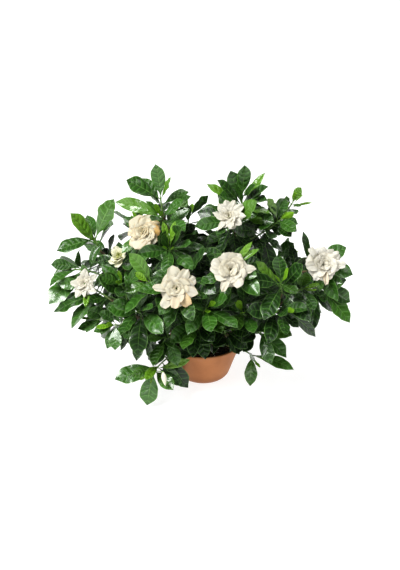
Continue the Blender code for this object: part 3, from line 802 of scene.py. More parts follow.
# Woody stems.
ROOTED_TOP = 0.0756
ROOTED_DEPTH = 0.030
ROOT_LEAN = 1.05
STEM_SIDES = 6
STEM_RING_STEP = 0.030
STEM_FOOT_RADIUS = 0.0042
STEM_TOP_RADIUS = 0.0023
SEAT_GAP = 0.0003

# Green twigs, with a face on every second side of a whorl for a leaf.
TWIG_SIDES = 6
TWIG_FOOT_RADIUS = 0.0019
TWIG_TOP_RADIUS = 0.0014
TWIG_FOOT_CONE = 0.0045
TWIG_RING_STEP = 0.035
TWIG_EASE = 0.36
WHORL_LEAVES = 3
WHORL_HALF_HEIGHT = 0.0017
WHORL_BELOW_TIP = (0.0055, 0.0185, 0.0345, 0.0535)
WHORL_PITCH = (40.0, 62.0, 82.0, 96.0)

# How much of a flower's height lies under its middle.
FLOWER_BELOW = 0.62

# Leaves.
LEAF_LENGTH = 0.076
LEAF_WIDTH_RATIOS = (0.44, 0.54)
LEAF_THICKNESS = 0.0013
LEAF_FOLD = 0.16
STALK_WIDTH = 0.0024
TEST_MARGIN = 0.0009
STALK_TESTED = 0.05
STALK_LEAVES = 0.13
PLACED_TRIES = 60
FILLING_TRIES = 26
TRY_SPREAD = 0.0014
TURN_COST = 0.1
LEAF_SAG = 0.16
LOWEST_LEAF = 0.004
LEAF_ARCH = (0.02, 0.13)
LEAF_ROLL = 26.0
PLACED_ROLL = 12.0
LIGHT_FRONT = Vector((0.0, -0.62, 0.78))
BACK_STARTS = 0.055

# How much a leaf leaves its limb towards its tip, along the limb and outward, and where on
# that way it bends.
TIPWARD, LIMBWARD, OUTWARD = 1.2, 0.25, 0.35
LEAF_BEND = 0.48

# A filling leaf's size, how much it shrinks at each try, and how many degrees its pitch and
# its swing may stray, with the share that each try adds to that.
FILLING_SIZES = (0.86, 1.10)
FILLING_SHRINK = 0.012
PITCH_STRAY, PITCH_LOOSER = 12, 0.12
SWING_STRAY, SWING_LOOSER = 14, 0.10

# What the first shoot's leaves are drawn from.
SEED = 20


def metres(point: Point) -> Point:
    """Turn a point in millimetres, and what may follow it, into metres."""
    return (*(value / 1000 for value in point[:3]), *point[3:])


@dataclass
class Bloom:
    """A flower at the end of a shoot: the middle of its petals, its facing and its size.

    It is given in millimetres and kept in metres, like a shoot.
    """

    name: str
    centre: Point
    facing: Point
    width: float
    height: float = 34

    def __post_init__(self) -> None:
        """Name the flower's part, and turn millimetres into metres."""
        self.node = f"flower_{self.name}"
        self.centre = metres(self.centre)
        self.width /= 1000
        self.height /= 1000

    def axis(self) -> Vector:
        """Return the way the flower faces."""
        return Vector(self.facing).normalized()

    def foot(self) -> Vector:
        """Return the point where the flower's tube starts."""
        return Vector(self.centre) - self.axis() * self.height * FLOWER_BELOW


@dataclass
class Shoot:
    """A leafy shoot: its stem, how far up that stem it starts, its tip and its leaves.

    A placed leaf gives its tip, and may add its width as a share of its length. The top
    whorl's leaves are smaller by the share in top.
    """

    name: str
    stem: str
    along: float
    tip: Point | None
    whorls: int
    leaf: float
    placed: tuple[Point, ...] = ()
    aim: Point | None = None
    top: float = 0.88
    bloom: Bloom | None = None

    def __post_init__(self) -> None:
        """Name the shoot's parts, and turn millimetres into metres."""
        self.node, self.stem = f"shoot_{self.name}", f"stem_{self.stem}"
        self.tip = metres(self.tip) if self.tip else None
        self.leaf /= 1000
        self.placed = tuple(metres(entry) for entry in self.placed)


# The way of each woody stem, from its rooted foot to its end, in millimetres.
STEMS = {f"stem_{name}": [metres(point) for point in points] for name, points in {
    "left": ((-19, 1), (-40, 0, 120), (-100, 4, 190), (-165, 6, 240), (-200, 10, 268)),
    "left_front": ((-15, -13), (-38, -34, 105), (-85, -70, 145), (-130, -85, 175), (-165, -85, 200)),
    "front": ((-1, -20), (-3, -45, 110), (-12, -80, 160), (-20, -105, 210), (-30, -115, 245)),
    "right_front": ((15, -13), (40, -34, 105), (85, -65, 145), (125, -85, 185), (145, -95, 215)),
    "right": ((19, 1), (40, 2, 120), (100, 4, 180), (160, -6, 222), (195, -20, 240)),
    "back_right": ((12, 15), (30, 45, 120), (65, 85, 185), (100, 110, 230), (120, 115, 255)),
    "back_left": ((-12, 15), (-30, 45, 120), (-65, 85, 185), (-100, 110, 230), (-120, 115, 255)),
    "upper_left": ((-6, 1), (-16, 2, 150), (-38, 4, 230), (-60, 0, 300), (-75, -8, 345)),
    "upper_right": ((8, 2), (18, 4, 150), (40, 4, 230), (60, 0, 300), (72, -8, 350)),
}.items()}

# Every shoot, in the order in which they grow.
SHOOTS = (
    # The left side.
    Shoot("left_top", "left", 1.0, (-217, 20, 298), 3, 74, ((-260, 10, 352, 0.36), (-175, 30, 374),
          (-185, -10, 355), (-289, 0, 276))),
    Shoot("left_edge", "left", 0.74, (-255, -30, 250), 3, 70, ((-299, -80, 198), (-297, -35, 262))),
    Shoot("left_bloom", "left_front", 1.0, None, 3, 74, ((-289, -90, 186), (-252, -120, 165)),
          bloom=Bloom("left", (-230, -90, 247), (-0.25, -0.8, 0.5), 62)),
    Shoot("left_low", "left_front", 0.8, (-208, -90, 169), 3, 70, ((-254, -100, 152),
          (-215, -110, 120)), (-0.8, -0.3, -0.1)),
    Shoot("left_hanging", "left_front", 0.62, (-172, -118, 172), 3, 70, ((-185, -130, 127),
          (-169, -150, 119)), (-0.6, -0.6, 0.2)),
    Shoot("front_left_glossy", "left_front", 0.72, (-125, -150, 217), 3, 80, ((-124, -175, 135),
          (-178, -160, 225)), (-0.2, -0.8, 0.5)),
    Shoot("left_middle", "left_front", 0.9, (-155, -125, 262), 3, 70, ((-195, -150, 285),),
          (-0.3, -0.5, 0.7)),
    Shoot("bud", "left", 0.6, None, 2, 64, bloom=Bloom("bud", (-162, -60, 290), (-0.2, -0.65, 0.72),
          36, 36)),
    # The upper left, round the oldest flower.
    Shoot("upper_left_bloom", "upper_left", 0.88, None, 3, 74,
          bloom=Bloom("upper_left", (-114, -70, 346), (-0.12, -0.82, 0.55), 74)),
    Shoot("top_left", "upper_left", 1.0, (-83, -5, 392), 3, 68, ((-92, 10, 452), (-147, -20, 430),
          (-124, 20, 420), (-62, -20, 436), (-24, -20, 398)), (-0.1, -0.1, 1)),
    Shoot("upper_left", "upper_left", 0.94, (-80, -50, 368), 3, 74, ((-170, -10, 382), (-37, -75, 405),
          (-26, -30, 374)), (-0.2, -0.6, 0.7)),
    Shoot("centre_left", "upper_left", 0.8, (-64, -100, 322), 3, 70, ((-40, -120, 372),
          (-81, -120, 357)), (0, -0.7, 0.6)),
    # The front.
    Shoot("centre", "front", 1.0, (-35, -125, 300), 3, 74, ((5, -135, 335),), (-0.1, -0.4, 0.9)),
    Shoot("front_bloom", "front", 0.92, None, 3, 76, bloom=Bloom("front_left", (-50, -180, 277),
          (-0.05, -0.88, 0.45), 88)),
    Shoot("front_left", "front", 0.86, (-100, -145, 272), 3, 74, ((-138, -130, 325),),
          (-0.5, -0.5, 0.6)),
    Shoot("front_low", "front", 0.7, (6, -155, 225), 3, 78, ((34, -190, 190), (-30, -185, 185)),
          (0.1, -0.8, 0.4)),
    Shoot("front_centre", "front", 0.52, (-14, -130, 176), 3, 74, ((-62, -160, 155), (-20, -150, 118),
          (20, -165, 160)), (-0.1, -0.8, 0.4)),
    Shoot("front_inner", "left_front", 0.45, (-75, -120, 140), 3, 66, ((-94, -130, 90),
          (-50, -135, 92)), (-0.2, -0.8, 0)),
    Shoot("trailing_left", "left_front", 0.25, (-98, -128, 74), 2, 62, ((-172, -132, 61),
          (-110, -142, 9, 0.6), (-110, -178, 84, 0.4), (-58, -165, 56), (-40, -135, 48, 0.34)),
          (-0.4, -0.8, -0.2)),
    # The middle and right of the front.
    Shoot("middle_bloom", "upper_right", 0.62, None, 3, 76, bloom=Bloom("front_right", (50, -155, 304),
          (0.02, -0.86, 0.5), 88)),
    Shoot("upper_bloom", "upper_right", 0.88, None, 3, 70, ((100, -75, 408),),
          bloom=Bloom("top", (48, -70, 378), (-0.05, -0.75, 0.65), 70)),
    Shoot("top_right", "upper_right", 1.0, (74, -6, 396), 3, 66, ((78, -10, 457), (40, -10, 437),
          (3, 0, 411), (118, 0, 438), (122, -25, 400)), (0, -0.1, 1)),
    Shoot("upper_right", "upper_right", 0.8, (148, -20, 350), 4, 74, ((188, -60, 310), (122, -80, 335),
          (112, -30, 385), (208, -30, 335)), (0.6, -0.3, 0.7)),
    Shoot("tuft_right", "back_right", 1.0, (174, 12, 374), 2, 60, ((188, 10, 400),
          (213, 18, 371, 0.22)), (0.5, -0.2, 1), top=0.5),
    Shoot("right_bloom", "right", 1.0, None, 3, 70, ((193, -20, 326), (279, -20, 292), (290, -50, 247)),
          bloom=Bloom("right", (231, -70, 278), (0.25, -0.85, 0.45), 84)),
    Shoot("right_edge", "right", 0.86, (232, -60, 222), 3, 78, ((284, -90, 163), (259, -40, 162),
          (209, -110, 153)), (0.7, -0.5, 0.2)),
    Shoot("right_middle", "right_front", 1.0, (145, -125, 264), 3, 72, ((138, -120, 318),
          (184, -135, 305), (88, -150, 278), (97, -120, 306)), (0.1, -0.5, 0.8)),
    Shoot("right_front", "right_front", 0.84, (148, -140, 212), 3, 76, ((80, -165, 225),
          (196, -150, 165), (120, -175, 160)), (0.2, -0.8, 0.3)),
    Shoot("right_inner", "right_front", 0.94, (190, -100, 240), 3, 70, aim=(0.6, -0.6, 0.4)),
    Shoot("right_low", "right_front", 0.5, (114, -105, 150), 3, 74, ((160, -120, 102), (76, -140, 125)),
          (0.5, -0.7, 0)),
    Shoot("trailing_right", "right_front", 0.25, (98, -100, 94), 1, 66, ((176, -120, 76, 0.38),
          (91, -130, 45, 0.38)), (0.5, -0.8, -0.2)),
    Shoot("front_right_low", "right_front", 0.36, (45, -115, 162), 3, 70, ((85, -150, 160),
          (22, -150, 140), (60, -165, 190)), (0.1, -0.7, 0.6)),
    Shoot("front_right_inner", "right_front", 0.66, (75, -120, 200), 3, 74, aim=(-0.1, -0.7, 0.6)),
    # The back.
    Shoot("back_left_high", "back_left", 1.0, (-135, 130, 282), 3, 76, aim=(-0.4, 0.5, 0.8)),
    Shoot("back_left_low", "back_left", 0.62, (-165, 130, 190), 3, 78, aim=(-0.7, 0.6, 0.2)),
    Shoot("back_left_outer", "left", 0.66, (-205, 85, 225), 3, 76, aim=(-0.7, 0.5, 0.4)),
    Shoot("back_high", "upper_left", 0.7, (-30, 105, 312), 3, 76, aim=(0, 0.6, 0.8)),
    Shoot("back_low", "back_left", 0.48, (-40, 175, 200), 3, 80, aim=(0, 0.9, 0.3)),
    Shoot("back_right_high", "upper_right", 0.66, (55, 110, 310), 3, 76, aim=(0.2, 0.6, 0.8)),
    Shoot("back_right_low", "back_right", 0.5, (75, 170, 190), 3, 80, aim=(0.3, 0.9, 0.3)),
    Shoot("back_right_outer", "back_right", 0.7, (165, 125, 215), 3, 78, aim=(0.7, 0.6, 0.3)),
    Shoot("back_right_side", "right", 0.62, (215, 60, 195), 3, 76, aim=(0.8, 0.4, 0.2)),
)


class Path:
    """A smooth way through points, measured along its length, with a tapering radius."""

    def __init__(self, points: Iterable[Point | Vector], foot_radius: float, top_radius: float,
                 step: float = 0.004) -> None:
        """Sample a curve through the points every few millimetres.

        Args:
            points: The points that it passes.
            foot_radius: The radius at its start.
            top_radius: The radius at its end.
            step: The distance between samples.
        """
        points = [Vector(point) for point in points]
        guides = [points[0] * 2 - points[1]] + points + [points[-1] * 2 - points[-2]]
        self.samples = [points[0]]
        for before, start, end, after in zip(guides, guides[1:], guides[2:], guides[3:]):
            count = max(2, int((end - start).length / step))
            for index in range(1, count + 1):
                share = index / count
                bend = (start * 2 + (end - before) * share
                        + (before * 2 - start * 5 + end * 4 - after) * share ** 2
                        + (start * 3 - before - end * 3 + after) * share ** 3)
                self.samples.append(bend * 0.5)
        self.reaches = [0.0]
        for start, end in zip(self.samples, self.samples[1:]):
            self.reaches.append(self.reaches[-1] + (end - start).length)
        self.length = self.reaches[-1]
        self.foot_radius = foot_radius
        self.top_radius = top_radius

    def point(self, reach: float) -> Vector:
        """Return the point at a distance along the way.

        Args:
            reach: The distance.

        Returns:
            The point.
        """
        reach = min(max(reach, 0.0), self.length)
        index = bisect_left(self.reaches, reach, 1)
        start, end = self.reaches[index - 1], self.reaches[index]
        return self.samples[index - 1].lerp(self.samples[index], (reach - start) / (end - start))

    def tangent(self, reach: float) -> Vector:
        """Return the direction of the way at a distance along it.

        Args:
            reach: The distance.

        Returns:
            The direction.
        """
        near = 0.002
        reach = min(max(reach, near), self.length - near)
        return (self.point(reach + near) - self.point(reach - near)).normalized()

    def radius(self, reach: float) -> float:
        """Return the radius at a distance along the way."""
        share = min(max(reach / self.length, 0.0), 1.0)
        return self.foot_radius + (self.top_radius - self.foot_radius) * share


def ring_tube(path: Path, reaches: list[float], sides: int,
              pointed: bool = False) -> tuple[bmesh.types.BMesh, list]:
    """Build the plain tube of rings that the plant's growth is worked out on.

    Args:
        path: The way that it follows.
        reaches: How far along the way each ring lies.
        sides: The sides of a ring.
        pointed: Whether the first and the last ring are points.

    Returns:
        The tube, and its side faces, ring by ring.
    """
    bm = bmesh.new()
    points = [path.point(reach) for reach in reaches]
    radii = [path.radius(reach) for reach in reaches]
    ends = points[0], points[-1]
    if pointed:
        points, radii = points[1:-1], radii[1:-1]
    heading = (points[1] - points[0]).normalized()
    across = heading.orthogonal().normalized()
    rings = []
    for index, (centre, radius) in enumerate(zip(points, radii)):
        before, after = points[max(index - 1, 0)], points[min(index + 1, len(points) - 1)]
        turned_heading = (after - before).normalized()
        across = heading.rotation_difference(turned_heading) @ across
        heading = turned_heading
        along = heading.cross(across)
        offsets = [across * math.cos(math.tau * side / sides)
                   + along * math.sin(math.tau * side / sides) for side in range(sides)]
        rings.append([bm.verts.new(centre + offset * radius) for offset in offsets])
    pairs = [(side, (side + 1) % sides) for side in range(sides)]
    bands = [[bm.faces.new((low[side], low[after], high[after], high[side]))
              for side, after in pairs] for low, high in zip(rings, rings[1:])]
    if pointed:
        foot, top = bm.verts.new(ends[0]), bm.verts.new(ends[1])
        for side, after in pairs:
            bm.faces.new((foot, rings[0][after], rings[0][side]))
            bm.faces.new((top, rings[-1][side], rings[-1][after]))
    else:
        bm.faces.new(rings[0][::-1])
        bm.faces.new(rings[-1])
    return bm, bands


class Clearance:
    """Everything placed so far, so that the next piece can be tested against it."""

    def __init__(self) -> None:
        """Start with nothing placed."""
        self.placed = []

    def add(self, owner: str, part: str, verts: list[Vector], faces: list) -> BVHTree:
        """Remember a closed shape.

        Args:
            owner: The piece that it belongs to.
            part: Which part of that piece it is.
            verts: Its corners.
            faces: Its faces, as numbers of corners.

        Returns:
            Its search tree.
        """
        tree = BVHTree.FromPolygons(verts, faces)
        self.placed.append((owner, part, *box_of(verts), tree))
        return tree

    def add_mesh(self, owner: str, part: str, bm: bmesh.types.BMesh) -> BVHTree:
        """Remember a bmesh as a shape of an owner, and free it.

        Args:
            owner: The piece that it belongs to.
            part: Which part of that piece it is.
            bm: The shape.

        Returns:
            Its search tree.
        """
        bm.verts.index_update()
        tree = self.add(owner, part, [vert.co.copy() for vert in bm.verts],
                        [[vert.index for vert in face.verts] for face in bm.faces])
        bm.free()
        return tree

    def add_node(self, name: str) -> None:
        """Remember one of the frame's parts.

        Args:
            name: The part's name.
        """
        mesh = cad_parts[name].data
        self.add(name, "part", [vert.co.copy() for vert in mesh.vertices],
                 [list(face.vertices) for face in mesh.polygons])

    def hit(self, verts: list[Vector], faces: list, skip: str = "", only_owner: str = "",
            past_leaves: bool = False) -> bool:
        """Say whether a shape crosses a placed one.

        Args:
            verts: The shape's corners.
            faces: Its faces.
            skip: An owner that doesn't count.
            only_owner: The only owner that counts, if one is named.
            past_leaves: Whether leaves don't count.

        Returns:
            True if it does.
        """
        low, high = box_of(verts)
        tree = None
        for owner, part, other_low, other_high, other in self.placed:
            if (owner == skip or (only_owner and owner != only_owner)
                    or (past_leaves and part == "leaf")
                    or low[0] > other_high[0] or high[0] < other_low[0]
                    or low[1] > other_high[1] or high[1] < other_low[1]
                    or low[2] > other_high[2] or high[2] < other_low[2]):
                continue
            tree = tree or BVHTree.FromPolygons(verts, faces)
            if tree.overlap(other):
                return True
        return False


def box_of(verts: list[Vector]) -> tuple[list[float], list[float]]:
    """Return the lowest and the highest corner of the box round some points."""
    return tuple([pick(vert[axis] for vert in verts) for axis in range(3)] for pick in (min, max))


@dataclass
class Leaf:
    """A leaf's midrib as three points of a bend, its upper side's facing, and its width."""

    start: Vector
    bend: Vector
    tip: Vector
    up: Vector
    width: float
    whorl: int = 0
    nature: "Nature | None" = None

    # Where its sections lie along the midrib, and their share of the full width.
    SECTIONS = ((0.14, 0.0), (0.45, 1.0), (0.78, 0.72))

    def midrib(self, share: float) -> tuple[Vector, Vector]:
        """Return the point and the direction of the midrib at a share of its length.

        Args:
            share: The share.

        Returns:
            The point and the direction.
        """
        rest = 1.0 - share
        point = self.start * rest ** 2 + self.bend * 2 * rest * share + self.tip * share ** 2
        heading = (self.bend - self.start) * rest + (self.tip - self.bend) * share
        return point, heading.normalized()

    def shape(self, margin: float = 0.0, blade_only: bool = False) -> tuple[list, list]:
        """Return the leaf as points and faces, for tests against other pieces.

        Args:
            margin: How much wider and thicker than the leaf the shape is.
            blade_only: Whether the foot of the stalk is left out.

        Returns:
            The points and the faces.
        """
        start = self.midrib(STALK_TESTED)[0] if blade_only else self.start
        side = (self.tip - self.start).cross(self.up).normalized() * STALK_WIDTH / 2
        top = self.up.normalized() * STALK_WIDTH / 2
        verts = [start - side, start + top, start + side, start - top]
        for share, width_share in self.SECTIONS:
            point, heading = self.midrib(share)
            side = heading.cross(self.up).normalized()
            top = side.cross(heading)
            half = max(self.width * width_share, STALK_WIDTH) / 2 + margin
            rise = top * LEAF_FOLD * (half if width_share else 0.0)
            thick = top * (LEAF_THICKNESS / 2 + margin)
            verts += [point - side * half + rise, point + thick,
                      point + side * half + rise, point - thick]
        end, heading = self.midrib(1.0)
        last = len(verts) - 4
        verts.append(end + heading * margin)
        turns = ((0, 1), (1, 2), (2, 3), (3, 0))
        faces = [(3, 2, 1, 0)]
        faces += [(low + corner, low + after, low + 4 + after, low + 4 + corner)
                  for low in range(0, last, 4) for corner, after in turns]
        faces += [(last + corner, last + after, last + 4) for corner, after in turns]
        return verts, faces


@dataclass
class Slot:
    """A place for a leaf: its whorl, where the leaf starts, its outward way and the twig's."""

    whorl: int
    start: Vector
    outward: Vector
    axis: Vector


@dataclass
class Limb:
    """A woody stem or a green twig: its name, its way, its plain surface and its leaves."""

    owner: str
    path: Path
    surface: BVHTree | None = None
    leaves: list[Leaf] = field(default_factory=list)


class Twig(Limb):
    """The green twig of a shoot, with its whorls."""

    def __init__(self, shoot: Shoot, stem: Limb, clearance: Clearance) -> None:
        """Lay the twig from its stem to its tip or its flower.

        Args:
            shoot: What grows here.
            stem: The woody stem that it grows on.
            clearance: The placed shapes, which it joins.
        """
        self.shoot = shoot
        reach = stem.path.length * shoot.along
        tip = shoot.bloom.foot() if shoot.bloom else Vector(shoot.tip)
        root, tangent = stem.path.point(reach), stem.path.tangent(reach)
        if shoot.along >= 1.0:
            foot, heading = root + tangent * SEAT_GAP, tangent
        else:
            away = tip - root
            away = (away - tangent * away.dot(tangent)).normalized()
            foot = stem.surface.ray_cast(root + away * 0.03, -away)[0] + away * SEAT_GAP
            heading = (away * 0.85 + tangent * 0.6).normalized()
        self.root = root
        if shoot.bloom:
            aim = shoot.bloom.axis()
            tip = tip - aim * SEAT_GAP
        elif shoot.aim:
            aim = Vector(shoot.aim).normalized()
        else:
            aim = ((tip - foot).normalized() + heading * 0.5).normalized()
        span = (tip - foot).length
        first, last = foot + heading * span * TWIG_EASE, tip - aim * span * TWIG_EASE
        points = [foot, foot + heading * TWIG_FOOT_CONE]
        for share in (0.2, 0.4, 0.6, 0.8):
            rest = 1.0 - share
            points.append(foot * rest ** 3 + first * 3 * rest ** 2 * share
                          + last * 3 * rest * share ** 2 + tip * share ** 3)
        super().__init__(shoot.name, Path(points + [tip], TWIG_FOOT_RADIUS, TWIG_TOP_RADIUS))
        self.whorls = [below for below in WHORL_BELOW_TIP[:shoot.whorls]
                       if below < self.path.length - TWIG_FOOT_CONE * 2.2]
        self.slots = self.find_slots(clearance)

    def find_slots(self, clearance: Clearance) -> list[Slot]:
        """Find the faces of the twig that carry leaves, and remember its shape.

        Args:
            clearance: The placed shapes.

        Returns:
            The slots, from the foot up.
        """
        length = self.path.length
        marks = []
        for whorl, below in enumerate(self.whorls):
            marks += [(length - below - WHORL_HALF_HEIGHT, whorl),
                      (length - below + WHORL_HALF_HEIGHT, None)]
        lowest = min(reach for reach, _ in marks) - TWIG_FOOT_CONE
        spans = int(lowest / TWIG_RING_STEP) + 1
        marks += [(TWIG_FOOT_CONE + lowest * index / spans, None) for index in range(spans)]
        marks.sort(key=lambda mark: mark[0])
        bm, bands = ring_tube(self.path, [0.0] + [reach for reach, _ in marks] + [length],
                              TWIG_SIDES, pointed=True)
        bm.normal_update()
        slots = []
        for band, (reach, whorl) in zip(bands, marks):
            if whorl is None:
                continue
            axis = self.path.tangent(reach + WHORL_HALF_HEIGHT)
            for leaf in range(WHORL_LEAVES):
                face = band[(leaf * 2 + whorl) % TWIG_SIDES]
                slots.append(Slot(whorl, face.calc_center_median(), face.normal.copy(), axis))
        clearance.add_mesh(self.owner, "twig", bm)
        return slots


def slot_cost(slot: Slot, wanted: Vector, length: float) -> float:
    """Return how badly a slot suits a leaf of a length with a wanted tip.

    Args:
        slot: The slot.
        wanted: The wanted tip.
        length: The leaf's usual length.

    Returns:
        The cost.
    """
    away = wanted - slot.start
    turn = away.normalized().dot((slot.outward * 0.8 + slot.axis * 0.5).normalized())
    return (1.0 - turn) * TURN_COST + abs(away.length - length)


# The shoots that open no young leaves at their tips, besides those that bloom.
PLAIN_TIPS = frozenset(("left_top", "front_left_glossy", "top_left", "front_centre", "front_inner",
    "right_edge", "back_left_low", "back_left_outer", "back_low", "back_right_high",
    "back_right_low", "back_right_side"))


@dataclass(frozen=True)
class Nature:
    """What sets one leaf apart: how young, slim and grown it is, as shares of the usual."""

    youth: float = 0.0
    slim: float = 1.0
    grown: float = 1.0


# The natures of the parts' leaves that stand out, by shoot and by the order they grew in.
NATURES = {
    "left_top": {0: (0.42, 1.1), 1: (0.08, 1.15), 2: (0.0, 0.8)},
    "left_edge": {8: (0.0, 0.9, 0.7)},
    "left_low": {0: (0.0, 0.7, 0.85), 1: (0.0, 0.8, 0.6), 6: (0.0, 0.9, 0.6)},
    "left_hanging": {1: (0.0, 0.9, 0.8), 4: (0.0, 0.8, 0.6), 8: (0.0, 0.7, 0.75)},
    "left_middle": {5: (0.6, 0.38, 0.55)},
    "upper_left": {0: (0.28, 0.5)},
    "top_left": {1: (0.0, 0.95), 3: (0.38, 0.62)},
    "top_right": {1: (0.0, 0.78, 0.94), 2: (0.45, 0.5), 3: (0.45, 0.42), 4: (0.0, 1.2)},
    "back_high": {5: (0.0, 0.8, 0.6)},
    "upper_bloom": {0: (0.22, 0.9), 4: (0.0, 0.8, 0.6)},
    "tuft_right": {0: (0.35,), 1: (0.85, 0.5), 2: (0.3, 0.8, 0.5)},
    "upper_right": {0: (0.0, 0.9, 0.62), 2: (0.45, 0.8), 3: (0.0, 0.9, 0.6)},
    "right_bloom": {0: (0.0, 0.4)},
    "right_middle": {3: (0.45, 0.5)},
    "right_inner": {4: (0.0, 0.8, 0.55), 8: (0.65, 0.35, 0.6)},
    "right_edge": {0: (0.05, 1.0), 2: (0.0, 0.5), 7: (0.0, 1.5), 8: (0.0, 0.7, 0.6)},
    "right_front": {1: (0.0, 0.7, 0.7)},
    "front_left": {0: (0.22, 0.8)},
    "front_low": {0: (0.12,)},
    "trailing_left": {2: (0.6, 0.66), 3: (0.1,)},
    "trailing_right": {0: (0.05, 0.72), 1: (0.05, 1.2)},
    "left_bloom": {6: (0.65, 0.5)},
    "front_right_inner": {7: (0.7, 0.38, 0.6)},
    "back_left_outer": {5: (0.0, 0.8, 0.7)},
    "back_right_outer": {6: (0.0, 0.8, 0.7)},
}


@dataclass(frozen=True)
class Extra:
    """A leaf that only the looks need: where it starts below its shoot's end, and its tip.

    It is given in millimetres.
    """

    below: float
    tip: Point
    width: float
    whorl: int = 3
    youth: float = 0.0


# The extra leaves, by shoot.
EXTRAS = {
    "trailing_left": ((14, (-26, -105, 90), 16, 0, 0.6), (50, (-31, -95, 22), 32), (35, (-56, -100, 40),
        30)),
    "upper_right": ((35, (113.5, -30, 371), 30), (20, (124, -28, 380), 26, 1), (45, (126, -30, 306),
        30), (50, (155, -20, 283), 26), (12, (180, -30, 329), 28, 1), (60, (107, -30, 291), 30),
        (50, (160, 0, 359), 30), (30, (157, -20, 329), 28)),
    "top_right": ((30, (127, -45, 372), 24, 1, 0.35), (40, (112, -55, 354), 22, 1, 0.25),
        (20, (123, -30, 420), 26, 1), (22, (26, -20, 430), 28, 1), (26, (30, -40, 407), 28, 1),
        (20, (62, -45, 432), 26, 1), (24, (121, -40, 396), 30, 1)),
    "tuft_right": ((60, (129, 50, 354), 28), (70, (176, 40, 319), 30), (85, (121, 70, 329), 28),
        (100, (165, 75, 293), 28), (120, (106, 90, 304), 30), (145, (143, 100, 265), 28)),
    "middle_bloom": ((4, (90, -120, 344), 12, 0, 0.6), (5, (104, -120, 330), 11, 0, 0.45)),
    "left_low": ((8, (-184, -60, 178), 28), (12, (-232, -70, 154), 26)),
    "left_bloom": ((40, (-227, -60, 187), 28), (26, (-187, -50, 245), 26), (52, (-211, -70, 176), 28)),
    "right_front": ((4, (217, -100, 138), 20),),
    "centre_left": ((2, (-76, -100, 377), 13, 0, 0.85), (2, (-52, -100, 377), 13, 0, 0.75)),
    "right_edge": ((3, (286, -60, 193), 34, 1),),
}

# How much bigger the bright leaves at some tips are than usual.
LARGE_CROWNS = {"right_middle": 1.3}

# The shoots that are bare below their top whorls.
BARE_SHOOTS = frozenset(("left_top", "tuft_right", "trailing_right"))


